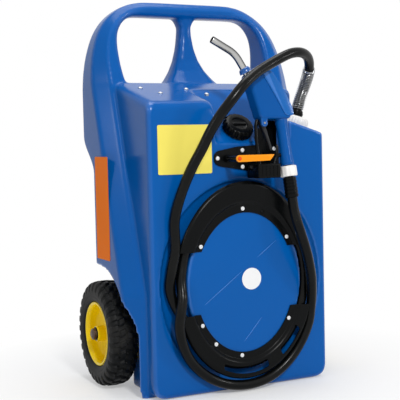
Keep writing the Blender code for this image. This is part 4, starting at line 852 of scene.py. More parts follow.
def enamel(name, colour, painted_shade, roughness, coat):
    """Glossy paint on pressed steel: a soft orange peel, a coat, and patches of painted shade."""
    made = Finish(name, {"Coat Weight": coat, "Coat Roughness": 0.08, "Specular IOR Level": 0.2})
    cloud = made.noise(9.0, 2.0)
    # Painted shade: a cloud mixes the colour with a darker, oranger copy of it.
    made.feed("Base Color", made.blend(cloud, painted_shade, colour))
    made.feed("Roughness", roughness + made.noise(40.0, 3.0) * 0.08)
    made.bump(made.noise(210.0, 1.0), 0.0002, 0.35)
    return made.material


def foil(name, colour, roughness, specular):
    """A printed film stuck on: even colour, a faint satin unevenness."""
    made = Finish(name, {"Specular IOR Level": specular})
    made.feed("Base Color", made.blend(made.noise(7.0, 2.0), tint(colour, 0.95), tint(colour, 1.03)))
    made.feed("Roughness", roughness + made.noise(45.0, 3.0) * 0.08)
    made.bump(made.noise(35.0, 2.0), 0.00018, 0.3)
    return made.material


def bright_pipe(name):
    """Smooth steel pipe with a painted reflection: its colour is bright where it faces the eye and dark towards its
    edges.
    """
    made = Finish(name, {"Metallic": 1.0})
    lines = made.noise(420.0, 3.0, (1.0, 1.0, 0.1))
    edge = made.node("ShaderNodeLayerWeight", {}, {"Blend": 0.5}, "Facing")
    # Painted reflection: the colour goes from bright grey where the pipe faces the eye to near black at its edges.
    made.feed("Base Color", made.blend(((edge - 0.04) * 2.2).held(), (0.5, 0.5, 0.49, 1), (0.012, 0.013, 0.014, 1)))
    made.feed("Roughness", 0.16 + lines * 0.1)
    made.bump(lines, 0.00004, 0.4)
    return made.material


MATTER = {name: make(name, *values) for name, (make, *values) in {
    "blue_tank": (plastic, (0.0001, 0.093, 0.365), 0.21, 520.0, 0.0001, 0.06, 0.03, 0.14, 1.0),
    "black_plastic": (plastic, (0.002, 0.0024, 0.0026), 0.26, 800.0, 0.0001, 0.25, 0.05, 0.1),
    "white_screw": (plastic, (0.8, 0.81, 0.82), 0.32, 900.0, 0.00005, 0.05, 0.03),
    "white_plastic": (plastic, (0.84, 0.82, 0.79), 0.4, 600.0, 0.0001, 0.05, 0.05),
    "clear_hose": (plastic, (0.42, 0.42, 0.38), 0.3, 300.0, 0.0001, 0.06, 0.05),
    "bright_pipe": (bright_pipe,),
    # Lighter than the dark real spring, so that its coils show as pale glints: painted highlight.
    "spring_steel": (metal, (0.34, 0.345, 0.35), 0.22, (1.0, 1.0, 1.0), 300.0),
    "steel": (metal, (0.3, 0.305, 0.31), 0.22, (1.0, 1.0, 0.15), 380.0),
    "dark_steel": (metal, (0.1, 0.075, 0.065), 0.42, (1.0, 1.0, 1.0), 200.0),
    "zinc_steel": (metal, (0.6, 0.61, 0.63), 0.34, (1.0, 1.0, 1.0), 160.0),
    "blue_nozzle": (plastic, (0.0006, 0.08, 0.32), 0.22, 700.0, 0.00008, 0.08, 0.05, 0.12, 1.0),
    "blue_cover": (plastic, (0.001, 0.105, 0.38), 0.2, 900.0, 0.00005, 0.06, 0.04, 0.16, 1.0),
    "grey_trigger": (plastic, (0.012, 0.012, 0.013), 0.42, 600.0, 0.0001, 0.15, 0.1, 0.2),
    "orange_latch": (plastic, (0.9, 0.3, 0.006), 0.32, 700.0, 0.00008, 0.06, 0.04, 0.2),
    "latch_red": (plastic, (0.75, 0.075, 0.006), 0.34, 700.0, 0.00008, 0.06, 0.04, 0.2),
    "rubber": (soft_black, (0.0018, 0.0022, 0.0022, 1), 0.24, 0.01, 500.0, 0.0001, 0.14),
    "tyre_rubber": (soft_black, (0.005, 0.0056, 0.006, 1), 0.5, 0.06, 320.0, 0.0004, 0.1),
    # The rim's second colour is a darker, oranger copy of its yellow: painted shade.
    "yellow_rim": (enamel, (1.0, 0.76, 0.001, 1), (0.96, 0.66, 0.0008, 1), 0.24, 0.12),
    "yellow_plate": (foil, (0.86, 0.74, 0.135), 0.38, 0.1),
    "orange_label": (foil, (0.95, 0.2, 0.002), 0.36, 0.04),
    "white_plate": (foil, (0.84, 0.84, 0.84), 0.36, 0.2),
}.items()}


def seat(obj, slot, nodes=(), body="trolley", angle=35, look=None):
    """Move a finished piece to the row frame, give it its material and hang it on its body."""
    obj.data.transform(Matrix.Translation((0, ORIGIN_SHIFT, 0)))
    obj.data.materials.clear()
    obj.data.materials.append(MATTER[look or slot])
    obj.data.shade_smooth()
    obj.data.set_sharp_from_angle(angle=radians(angle))
    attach(obj, body)
    if nodes:
        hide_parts(*nodes)
    return obj


def moulded(obj, cell, rounds):
    """Rebuild a shape from small cells and smooth it, which gives every edge a moulded fillet."""
    step(obj, "REMESH", mode="VOXEL", voxel_size=cell, adaptivity=0)
    settle(step(obj, "SMOOTH", factor=0.5, iterations=rounds))


def sweep(name, points, radius, around=24):
    """A round bar along points; radius may be a function of the share of the way."""
    side = Vector((0.3, 1, 0.2))
    rings = []
    last = len(points) - 1
    for i, point in enumerate(points):
        way = (points[min(last, i + 1)] - points[max(0, i - 1)]).normalized()
        side = (side - way * side.dot(way)).normalized()
        other = way.cross(side)
        r = radius(i / last) if callable(radius) else radius
        rings.append([point + (side * cos(turn) + other * sin(turn)) * r
                      for turn in (2 * pi * k / around for k in range(around))])
    return loft(name, rings)


def step_up(value, low, high):
    """0 below low, 1 above high, and a soft step between."""
    share = min(1.0, max(0.0, (value - low) / (high - low)))
    return share * share * (3 - 2 * share)


def ribbed(name, levels, ribs, per_rib, depth, origin, axis):
    """A cap with soft upright ribs: levels of (height, radius, share of the rib depth)."""
    turn = Vector((0, 0, 1)).rotation_difference(axis).to_matrix()
    rings = []
    for height, radius, rib in levels:
        ring = []
        for i in range(ribs * per_rib):
            angle = 2 * pi * i / (ribs * per_rib)
            wave = 0.5 + 0.5 * cos(angle * ribs)
            r = radius - depth * rib * step_up(wave, 0.25, 0.75)
            ring.append(origin + turn @ Vector((r * cos(angle), r * sin(angle), height)))
        rings.append(ring)
    return loft(name, rings)


# The camera and the hose

def camera():
    """The camera that took the photograph."""
    data = bpy.data.cameras.new("camera")
    data.sensor_width = SENSOR_WIDTH
    data.lens = CAMERA_LENS
    data.clip_start, data.clip_end = 0.1, 80
    obj = linked("camera", data)
    turn, pitch, roll = CAMERA_TURN, CAMERA_PITCH, CAMERA_ROLL
    forward = Vector((sin(turn) * cos(pitch), cos(turn) * cos(pitch), -sin(pitch)))
    level = Vector((cos(turn), -sin(turn), 0))
    upright = level.cross(forward)
    right = level * cos(roll) + upright * sin(roll)
    up = upright * cos(roll) - level * sin(roll)
    axes = Matrix((right, up, -forward)).transposed().to_4x4()
    obj.matrix_world = Matrix.Translation(CAMERA_PLACE) @ axes
    bpy.context.scene.camera = obj


def hose():
    """The delivery hose, its bend spring and the ferrule that ends the spring."""
    route, length = smooth_route(hose_route(), HOSE_STEP)
    tail = sweep("hose_run", route, HOSE_RADIUS, 28)
    fine, _ = smooth_route(hose_route(), FINE_STEP)
    coil_radius = HOSE_RADIUS + SPRING_CLEARANCE + SPRING_WIRE
    lead = SPRING_WIRE + GAP
    per_turn = 20
    total = SPRING_TURNS * per_turn
    side = Vector((0, 1, 0))
    coil = []
    for i in range(total + 1):
        centre, way, _ = on_line(fine, lead + SPRING_LENGTH * i / total)
        side = (side - way * side.dot(way)).normalized()
        turn = 2 * pi * i / per_turn
        coil.append(centre + (side * cos(turn) + way.cross(side) * sin(turn)) * coil_radius)
    spring = seat(sweep("spring_coil", coil, SPRING_WIRE, 10), "steel", ["bend_spring"], look="spring_steel")
    foot, _, way = on_line(fine, lead + SPRING_LENGTH + SPRING_WIRE + GAP)
    inner, outer = HOSE_RADIUS + 0.0006, HOSE_RADIUS + 0.0034
    ring = turned("spring_end",
                  [(inner, 0.008), (outer - 0.0008, 0.008), (outer, 0.0072), (outer, 0.0055), (outer - 0.0009, 0.0045),
                   (outer - 0.0009, 0.0033), (outer, 0.0024), (outer, 0.0008), (outer - 0.0008, 0.0), (inner, 0.0)],
                  foot, way, 56)
    ring = seat(ring, "steel", ["spring_ferrule"])
    tail = seat(tail, "rubber", ["delivery_hose"])


# The tank

def fine_frame():
    """The side rails, the uprights and the top bar, through many stations."""
    rows = [Vector((outer[0], outer[1], inner[0], inner[1])) for outer, inner in handle_stations()]
    low = [row for row in rows if row[1] < 0.43]
    high, _ = smooth_route([row for row in rows if row[1] > 0.4], 0.014)
    rows = low[:-1] + high
    rings = [handle_section((row[0], row[1]), (row[2], row[3]), -1) for row in rows]
    rings += [handle_section((row[0], row[1]), (row[2], row[3]), 1) for row in reversed(rows)]
    return loft("frame", rings)


def tank_skin():
    """The moulded tank in one skin."""
    core = flat_piece("tank_skin", [core_outline()], -CORE_HALF_WIDTH, CORE_HALF_WIDTH, "YZ")

    def core_share(edge):
        a, b = edge.verts[0].co, edge.verts[1].co
        if abs(a.z - b.z) > 0.3 and max(a.y, b.y) < FRONT_Y + 0.001:
            return 0.25
        if max(a.y, b.y) > SHELF_KNEE_Y + 0.001 and min(a.z, b.z) > AXLE_BAY_HEIGHT - 0.001:
            return 0.0
        if abs(a.x - b.x) > 0.1 and min(a.y, b.y) > FRONT_Y + 0.001:
            return 0.0
        if max(a.z, b.z) < 0.001:
            return 1.0 if abs(a.x - b.x) < 0.001 else 0.5
        if min(a.z, b.z) > AXLE_BAY_HEIGHT - 0.001 or max(a.y, b.y) < AXLE_BAY_Y - 0.001:
            return 0.5
        return 0.0

    round_edges(core, CORE_ROUND, 8, chosen=core_share)
    hub_front = FRONT_Y - HUB_PROUD
    hub = flat_piece("hub", [ellipse(HUB_A, HUB_B)], hub_front, FRONT_Y + 0.02, "XZ")
    join(core, fine_frame())
    join(core, stem())
    ring = flat_piece("channel", [ellipse(CHANNEL_A, CHANNEL_B), ellipse(HUB_A - 0.004, HUB_B - 0.004)], FRONT_Y - 0.03,
                      FRONT_Y + CHANNEL_DEPTH, "XZ")
    cut(core, ring)
    join(core, hub)
    cut(core, pocket_cutter())
    cut(core, shoulder_cutter())
    for side in (-1, 1):
        cut(core, arch_cutter(side))
    bay = box("axle_bay", (-ARCH_INNER_X - 0.002, AXLE_BAY_Y, -0.02),
              (ARCH_INNER_X + 0.002, LOW_REAR_Y + 0.02, AXLE_BAY_HEIGHT))
    cut(core, bay)
    moulded(core, TANK_CELL, 6)
    group = core.vertex_groups.new(name="soft")
    for vert in core.data.vertices:
        x, y, z = vert.co
        if POCKET_LEFT_X - 0.035 < x < POCKET_RIGHT_X + 0.01 and y < 0.01 and z > 0.735:
            edge = max(0.0, 1 - abs(z - 0.812) / 0.05) * max(0.0, 1 - abs(y + 0.05) / 0.065)
            side = step_up(0.034 - abs(x - POCKET_LEFT_X), 0.0, 0.024)
            share = max(min(1.0, edge * 1.8), side)
            if share > 0:
                group.add([vert.index], share, "REPLACE")
    settle(step(core, "SMOOTH", factor=0.7, iterations=40, vertex_group="soft"))
    core.vertex_groups.clear()
    return seat(core, "blue_tank", ["tank_body"], angle=60)


def mould_lines():
    """Three fine raised lines that the mould leaves on the hub's face."""
    y = FRONT_Y - HUB_PROUD
    for i, ((x, z), (end_x, end_z)) in enumerate(MOULD_LINES):
        points = [Vector((x + (end_x - x) * k / 12, y + 0.0001, z + (end_z - z) * k / 12)) for k in range(13)]
        line = sweep(f"mould_line_{i + 1}", points, lambda share: 0.0015 * sin(pi * (0.06 + share * 0.88)) ** 0.5, 10)
        # They take the nozzle cover's lighter blue, a painted highlight along the lines.
        seat(line, "blue_cover")


def shelf_inserts():
    """Four low domed inserts on the front of the shelf."""
    slope = (SHELF_HEIGHT - SHELF_FRONT_HEIGHT) / (SHELF_KNEE_Y - FRONT_Y)
    for i, (x, y) in enumerate(INSERT_PLACES):
        z = SHELF_FRONT_HEIGHT + (y - FRONT_Y) * slope
        profile = tenths((0, 40), (26, 37), (50, 28), (62, 12), (62, -40), (0, -40))
        dome = turned(f"shelf_insert_{i + 1}", profile, (x, y, z + GAP), (0, -slope, 1), 32)
        # Made of pale zinc steel so that they show as bright dots; the pale colour stands in partly for the highlights
        # on them: painted highlight.
        seat(dome, "zinc_steel")


# Guards, screws and plates

def guard(name, node, outer_b, level, first, last, slots):
    """A hose guard: one sheet of rows across and stations along, thickened, with rounded slots and ends cut level."""
    base = FRONT_Y - HUB_PROUD - GAP
    shares = [0.0, 0.06, 0.13, 0.2, 0.245, 0.27, 0.3, 0.33, 0.36, 0.39, 0.42, 0.445, 0.48, 0.53, 0.58, 0.63, 0.68, 0.73,
              0.78, 0.83, 0.87, 0.9, 0.925, 0.95, 0.97, 0.985, 1.0]
    count = 150

    def turn_at(share, near, far):
        for _ in range(40):
            middle = (near + far) / 2
            if (across_guard(middle, share, outer_b)[1] > level) == (across_guard(near, share, outer_b)[1] > level):
                near = middle
            else:
                far = middle
        return near

    crest = (first + last) / 2
    work = bmesh.new()
    grid = []
    for share in shares:
        start, end = turn_at(share, crest, first), turn_at(share, crest, last)
        out = GUARD_RISE * step_up(share, 0.25, 0.44) - 0.006 * max(0.0, (share - 0.89) / 0.11) ** 2
        row = []
        for i in range(count + 1):
            x, z = across_guard(start + (end - start) * i / count, share, outer_b)
            row.append(work.verts.new((x, base - out, z)))
        grid.append(row)
    gone = []
    for k in range(len(shares) - 1):
        for i in range(count):
            face = work.faces.new((grid[k][i], grid[k + 1][i], grid[k + 1][i + 1], grid[k][i + 1]))
            middle = face.calc_center_median()
            turn = degrees(atan2(middle.z - HUB_HEIGHT, middle.x)) % 360
            share = (shares[k] + shares[k + 1]) / 2
            for low, high, near, far in slots:
                if low < turn < high and near < share < far:
                    gone.append(face)
    bmesh.ops.delete(work, geom=gone, context="FACES_ONLY")
    bmesh.ops.delete(work, geom=[v for v in work.verts if not v.link_faces], context="VERTS")
    for low, high, near, far in slots:
        for vert in work.verts:
            if vert.is_boundary:
                turn = degrees(atan2(vert.co.z - HUB_HEIGHT, vert.co.x)) % 360
                radius = hypot(vert.co.x, vert.co.z - HUB_HEIGHT)
                inner, outer = guard_edges(radians(turn), outer_b)
                share = (radius - inner) / (outer - inner)
                if low - 4 < turn < high + 4 and near - 0.06 < share < far + 0.06:
                    wide, tall = radius * radians(1), outer - inner
                    u, v = (turn - (low + high) / 2) * wide, (share - (near + far) / 2) * tall
                    half_u, half_v, soft = (high - low) / 2 * wide, (far - near) / 2 * tall, 0.006
                    du, dv = abs(u) - (half_u - soft), abs(v) - (half_v - soft)
                    if du > 0 and dv > 0:
                        long = hypot(du, dv)
                        u = copysign(half_u - soft + du / long * soft, u)
                        v = copysign(half_v - soft + dv / long * soft, v)
                    elif du > dv:
                        u = copysign(half_u, u)
                    else:
                        v = copysign(half_v, v)
                    turn = radians((low + high) / 2 + u / wide)
                    radius = inner + ((near + far) / 2 + v / tall) * tall
                    vert.co.x, vert.co.z = radius * cos(turn), HUB_HEIGHT + radius * sin(turn)
    work.normal_update()
    if sum(face.normal.y * face.calc_area() for face in work.faces) > 0:
        bmesh.ops.reverse_faces(work, faces=work.faces)
    band = as_drawn(name, work)
    settle(step(band, "SOLIDIFY", thickness=GUARD_THICKNESS, offset=1))
    round_edges(band, 0.0008, 2, 50)
    return seat(band, "black_plastic", [node], angle=45)


def screws():
    """Domed screws with a six-sided socket, each a copy of one mesh."""
    head, r = SCREW_HEAD_HEIGHT, SCREW_HEAD_RADIUS
    profile = [(0, head), (r * 0.55, head * 0.94), (r * 0.8, head * 0.74), (r * 0.95, head * 0.48), (r, head * 0.3),
               (r, GAP), (SCREW_SHANK_RADIUS, GAP), (SCREW_SHANK_RADIUS, -0.004), (0, -0.004)]
    first = turned("screw", profile, (0, 0, 0), (0, -1, 0), 40)
    cut(first, rod("socket", (0, -head - 0.001, 0), (0, -head * 0.45, 0), r * 0.42, 6))
    hub = FRONT_Y - HUB_PROUD - GAP - GUARD_THICKNESS
    face = FRONT_Y - GAP - PLATE_THICKNESS
    places = [(f"guard_screws_{i + 1}", x, hub, z) for i, (x, z) in enumerate(guard_screw_places())]
    places += [(f"plate_screws_{i + 1}", x, face, z) for i, (x, z) in enumerate(plate_screw_places())]
    for node, x, y, z in places:
        screw = linked("fine_" + node, first.data.copy())
        screw.data.transform(Matrix.Translation((x, y, z)))
        seat(screw, "white_screw", [node], angle=30, look="black_plastic" if node == "guard_screws_4" else None)
    bpy.data.objects.remove(first, do_unlink=True)


def eased(start, corner, end, steps):
    """Points of a soft bend from start to end that leans towards a corner."""
    shares = [k / steps for k in range(steps + 1)]
    return [start * (1 - t) ** 2 + corner * 2 * t * (1 - t) + end * t ** 2 for t in shares]


def rounded(outline, radius):
    """A polygon's outline with its corners rounded."""
    result = []
    for i, corner in enumerate(outline):
        here = Vector(corner)
        back, on = Vector(outline[i - 1]) - here, Vector(outline[(i + 1) % len(outline)]) - here
        reach = min(radius, back.length / 2, on.length / 2)
        a, b = here + back.normalized() * reach, here + on.normalized() * reach
        result += [(point.x, point.y) for point in eased(a, here, b, 5)]
    return result


def plates():
    """The bare instruction plate, side label and round plate."""
    plate = flat_piece("instruction_film", [rounded(INSTRUCTION_PLATE, LABEL_CORNER)], FRONT_Y - GAP - LABEL_THICKNESS,
                       FRONT_Y - GAP)
    seat(plate, "yellow_plate", ["instruction_plate"])
    left = -BODY_HALF_WIDTH - GAP
    label = flat_piece("side_film", [rounded(SIDE_LABEL, LABEL_CORNER)], left - LABEL_THICKNESS, left, "YZ")
    seat(label, "orange_label", ["side_label"])
    hub_front = FRONT_Y - HUB_PROUD - GAP
    plate = turned("round_film",
                   [(0, LABEL_THICKNESS), (0.0287, LABEL_THICKNESS), (0.029, LABEL_THICKNESS * 0.6), (0.029, 0),
                    (0, 0)], (ROUND_PLATE[0], hub_front, ROUND_PLATE[1]), (0, -1, 0), 72)
    seat(plate, "white_plate", ["round_plate"])


# The nozzle and its holder

def nozzle():
    """The nozzle: spout, collar, body, cover, grip, tail, nut, trigger guard and trigger."""
    half = BODY_THICKNESS / 2
    entry, bend, tip = Vector((0.0135, 0, 0.848)), Vector((-0.0146, 0, 0.898)), Vector((-0.079, 0, 0.934))
    into, away = (entry - bend).normalized(), (tip - bend).normalized()
    corner = [bend + into * 0.02, bend + away * 0.02]
    path = [entry + into * 0.006, entry, entry.lerp(corner[0], 0.5)]
    path += eased(corner[0], bend, corner[1], 16)
    path += [corner[1].lerp(tip, 0.5), tip - away * 0.0012, tip]
    spout = sweep("spout_pipe", path, lambda share: SPOUT_RADIUS - (0.0005 if share >= 1 else 0), 40)
    bore = sweep("bore", [tip - away * 0.035, tip + away * 0.01], SPOUT_RADIUS - SPOUT_WALL, 40)
    cut(spout, bore)
    seat(leaned(spout), "steel", ["nozzle_spout"], look="bright_pipe")
    collar = turned("spout_ring",
                    [(SPOUT_RADIUS + GAP, 0.013),
                     *tenths((108, 130), (124, 122), (140, 98), (152, 70), (160, 40), (165, 0)),
                     (SPOUT_RADIUS + GAP, 0.0)], entry - into * 0.0005, -into, 56)
    seat(leaned(collar), "blue_nozzle", ["spout_collar"])

    outline = tenths((60, 8395), (275, 8530), (400, 8600), (640, 8500), (780, 8360), (1060, 7960), (1260, 7500),
                     (1290, 7300), (1270, 7221), (520, 7221), (370, 7223), (330, 7300), (180, 7900))
    body = flat_piece("nozzle_housing", [outline], -half, half)
    round_edges(body, 0.008, 5, 50)
    socket = rod("socket", entry + into * (0.006 + GAP), entry - into * 0.03, SPOUT_RADIUS + GAP, 32)
    cut(body, socket)
    flat = rod("flat", entry - into * 0.03, entry - into * 0.0002, 0.0175, 32)
    cut(body, flat)
    px, pz = TRIGGER_PIVOT

    def pin_hole():
        return rod("hole", (px, -0.03, pz), (px, 0.03, pz), TRIGGER_PIN_RADIUS + GAP, 24)

    for low in (-half + 0.004, TRIGGER_THICKNESS / 2 + 0.001):
        high = low + (half - 0.004 - TRIGGER_THICKNESS / 2 - 0.001)
        lug = flat_piece("lug", [beside(px, pz, (-90, 160), (-90, -40), (-40, -90), (40, -90), (90, -40), (90, 160))],
                         low, high)
        join(body, lug)
    moulded(body, NOZZLE_CELL, 5)
    cut(body, pin_hole())
    seat(leaned(body), "blue_nozzle", ["nozzle_body"], angle=50)

    line = tenths((440, 8660), (680, 8560), (840, 8400), (1115, 7990), (1325, 7510), (1355, 7300), (1100, 7300),
                  (850, 7780), (560, 8300))
    cover = flat_piece("nozzle_shroud", [rounded(line, 0.008)], -COVER_THICKNESS / 2, COVER_THICKNESS / 2)
    round_edges(cover, 0.005, 4, 50)
    grown = tenths((45, 8400), (265, 8545), (398, 8616), (650, 8511), (792, 8369), (1073, 7967), (1274, 7504),
                   (1305, 7300), (1280, 7200), (300, 7200))
    cut(cover, flat_piece("inside", [grown], -half - GAP, half + GAP))
    seat(leaned(cover), "blue_cover", ["nozzle_cover"], angle=32)

    along = grip_axis()
    top = flat_point(GRIP_TOP)
    long = (flat_point(GRIP_FOOT) - top).length
    side = along.cross(Vector((0, 1, 0))).normalized()
    shares = [-0.02, 0.08, 0.3, 0.55, 0.8, 0.94, 1.0]
    wides = [0.0165, 0.0175, 0.016, 0.016, 0.017, 0.0185, 0.0175]
    deeps = [0.016, 0.0165, 0.015, 0.015, 0.016, 0.0175, 0.0165]
    rings = []
    for k in range(97):
        share = -0.02 + 1.02 * k / 96
        wide, deep = float(np.interp(share, shares, wides)), float(np.interp(share, shares, deeps))
        rings.append([top + along * long * share + side * wide * cos(turn) + Vector((0, deep * sin(turn), 0))
                      for turn in (2 * pi * i / 48 for i in range(48))])
    grip = loft("nozzle_handle", rings)
    cut(grip, box("above", (0.0, -0.1, GRIP_TOP[1]), (0.2, 0.1, GRIP_TOP[1] + 0.1)))
    seat(leaned(grip), "blue_nozzle", ["nozzle_grip"], angle=50)

    foot = top + along * (long + GAP)
    start, end = 0.004 + NUT_LENGTH, 0.004 + NUT_LENGTH + TAIL_LENGTH - GAP
    profile = [(0, 0), (0.0115, 0), (0.0115, start), (TAIL_RADIUS - 0.002, start), (TAIL_RADIUS, start + 0.002)]
    for k in range(5):
        at = start + 0.007 + k * 0.0088
        profile += beside(TAIL_RADIUS, at, (0, 0), (-11, 8), (-11, 26), (0, 34))
    profile += [*beside(TAIL_RADIUS, end, (0, -30), (-10, -10), (-30, 0)), (0, end)]
    tail = turned("tail_sleeve", profile[::-1], foot, along, 56)
    seat(leaned(tail), "black_plastic", ["hose_tail"])
    r = NUT_RADIUS
    levels = [(0.0, r - 0.0022, 0.2), (0.0012, r - 0.0006, 0.8), (0.0024, r, 1), (NUT_LENGTH - 0.0024, r, 1),
              (NUT_LENGTH - 0.0012, r - 0.0006, 0.8), (NUT_LENGTH, r - 0.0022, 0.2)]
    nut = ribbed("nut_ring", levels, 12, 10, 0.0008, foot + along * 0.002, along)
    bore = rod("bore", foot - along * 0.01, foot + along * 0.06, 0.0115 + GAP, 40)
    cut(nut, bore)
    seat(leaned(nut), "white_plastic", ["swivel_nut"], angle=30)

    loop = tenths((345, 0, 7215), (300, 0, 7060), (280, 0, 6800), (280, 0, 6500), (290, 0, 6180), (325, 0, 5960),
                  (420, 0, 5840), (550, 0, 5810), (670, 0, 5870), (740, 0, 6020), (800, 0, 6180), (890, 0, 6260),
                  (958, 0, 6275))
    route, _ = smooth_route(loop, 0.0025)
    seat(leaned(sweep("trigger_loop", route, GUARD_WIRE, 24)), "black_plastic", ["trigger_guard"])

    arc = []
    for i in range(17):
        turn = radians(200 - 220 * i / 16)
        arc.append((px + 0.0075 * cos(turn), pz + 0.0075 * sin(turn)))
    outline = arc + tenths((590, 6900), (660, 6600), (705, 6420), (675, 6375), (630, 6390), (580, 6600), (500, 6850))
    lever = flat_piece("trigger_lever", [outline], -TRIGGER_THICKNESS / 2, TRIGGER_THICKNESS / 2)
    round_edges(lever, 0.0022, 4, 40)
    cut(lever, pin_hole())
    seat(leaned(lever), "grey_trigger", ["nozzle_trigger"], "trigger")


def holder():
    """The holder plate, the cradle and the latch."""
    back = FRONT_Y - GAP
    face = back - PLATE_THICKNESS
    latch_y = face - CRADLE_DEPTH - 0.003
    outline = [(-0.08, 0.614), (-0.08, 0.632), (-0.07, 0.641), (-0.01, 0.652), (TONGUE_LEFT, 0.6545),
               (TONGUE_LEFT, TONGUE_TOP), (TONGUE_RIGHT, TONGUE_TOP), (TONGUE_RIGHT, 0.655),
               *tenths((1120, 6550), (1160, 6500), (1160, 5760), (1120, 5720), (400, 5720), (160, 5880), (-600, 6000),
                       (-740, 6050))]
    plate = flat_piece("holder_back", [rounded(outline, 0.006)], face, back)
    round_edges(plate, 0.0008, 2, 60)
    for x in (TONGUE_LEFT, 0.103):
        rib = box("rib", (x, face - 0.006, 0.645), (x + 0.003, back - 0.001, TONGUE_TOP - 0.007))
        join(plate, rib)
    lx, lz = LATCH_PIVOT
    boss = turned("boss",
                  [(0, 0), (LATCH_BOSS_RADIUS + 0.003, 0), (LATCH_BOSS_RADIUS + 0.001, 0.006),
                   (LATCH_BOSS_RADIUS, 0.012), (LATCH_BOSS_RADIUS, back - 0.001 - latch_y - GAP - 0.001),
                   (LATCH_BOSS_RADIUS - 0.001, back - 0.001 - latch_y - GAP), (0, back - 0.001 - latch_y - GAP)],
                  (lx, back - 0.001, lz), (0, -1, 0), 40)
    join(plate, boss)
    seat_hole = rod("seat", (lx, latch_y - 0.02, lz), (lx, latch_y + 0.018, lz), LATCH_PIN_RADIUS + GAP, 24)
    cut(plate, seat_hole)
    seat(plate, "black_plastic", ["holder_plate"])

    rear_y, front_y = face - GAP, face - CRADLE_DEPTH
    cradle = box("cradle_box", (CRADLE_LEFT, front_y, CRADLE_BOTTOM), (CRADLE_RIGHT, rear_y, CRADLE_TOP))
    round_edges(cradle, 0.004, 4)
    inside = box("inside", (CRADLE_LEFT + CRADLE_WALL, front_y + CRADLE_WALL, CRADLE_BOTTOM + CRADLE_WALL),
                 (CRADLE_RIGHT - CRADLE_WALL, rear_y - CRADLE_WALL, CRADLE_TOP + 0.02))
    cut(cradle, inside)
    for k in range(5):
        x = CRADLE_LEFT + 0.01 + k * 0.0112
        cut(cradle,
            box("groove", (x, front_y - 0.002, CRADLE_BOTTOM + 0.006),
                (x + 0.0018, front_y + 0.0009, CRADLE_TOP - 0.005)))
    seat(cradle, "black_plastic", ["nozzle_cradle"])

    end = lx + LATCH_LENGTH
    up, down = lz + LATCH_HEIGHT / 2, lz - LATCH_HEIGHT / 2
    shape = [(lx + LATCH_HEIGHT / 2 * cos(turn), lz + LATCH_HEIGHT / 2 * sin(turn))
             for turn in (radians(90 + 10 * i) for i in range(19))]
    shape += [(end - 0.014, down + 0.002), (end - 0.0125, down + 0.003), (end - 0.001, up - 0.0015), (end - 0.002, up)]
    bar = flat_piece("latch_bar", [shape], latch_y - LATCH_THICKNESS, latch_y)
    round_edges(bar, 0.0014, 3, 40)
    groove = flat_piece("groove",
                        [rounded([(lx + 0.018, lz - 0.003), (end - 0.02, lz - 0.003), (end - 0.016, lz + 0.003),
                                  (lx + 0.018, lz + 0.003)], 0.003)], latch_y - LATCH_THICKNESS - 0.002,
                        latch_y - LATCH_THICKNESS + 0.0009)
    cut(bar, groove)
    hole = rod("hole", (lx, latch_y + 0.01, lz), (lx, latch_y - 0.02, lz), LATCH_PIN_RADIUS + GAP, 24)
    cut(bar, hole)
    seat(bar, "orange_latch", ["latch_lever"], "latch")


# Caps

def filler_cap():
    """The filler's ribbed screw cap."""
    base = 0.0023
    top, r = FILLER_CAP_HEIGHT, FILLER_CAP_RADIUS
    levels = [(-0.01, FILLER_BORE - 0.0025, 0), (-0.009, FILLER_BORE - 0.0015, 0), (base, FILLER_BORE - 0.0015, 0),
              (base, r - 0.003, 0), (base + 0.0008, r - 0.0022, 0.0), (base + 0.003, r - 0.0014, 0.9),
              (base + 0.0045, r, 1.0), (top - 0.011, r - 0.0006, 1.0), (top - 0.0075, r - 0.0016, 1.0),
              (top - 0.0052, r - 0.003, 0.8), (top - 0.0034, r - 0.0048, 0.4), (top - 0.0022, r - 0.0068, 0.1),
              (top - 0.0016, r - 0.0088, 0)]
    cap = ribbed("filler_lid", levels, 18, 12, 0.0036, filler_point(), filler_axis())
    dish = turned("dish", tenths((0, -45), (195, -45), (215, -38), (230, -12), (246, 0), (246, 100), (0, 100)),
                  filler_point(top), filler_axis(), 64)
    cut(cap, dish)
    turn = Vector((0, 0, 1)).rotation_difference(filler_axis()).to_matrix().to_4x4()
    grip = flat_piece("grip",
                      [rounded([(-0.021, -0.0045), (0.021, -0.0045), (0.021, 0.0045), (-0.021, 0.0045)], 0.0045)],
                      top - 0.006, top - 0.0016, "XY")
    round_edges(grip, 0.0012, 3, 50)
    grip.data.transform(Matrix.Translation(filler_point()) @ turn)
    join(cap, grip)
    seat(cap, "black_plastic", ["filler_cap"], "cap", 32)


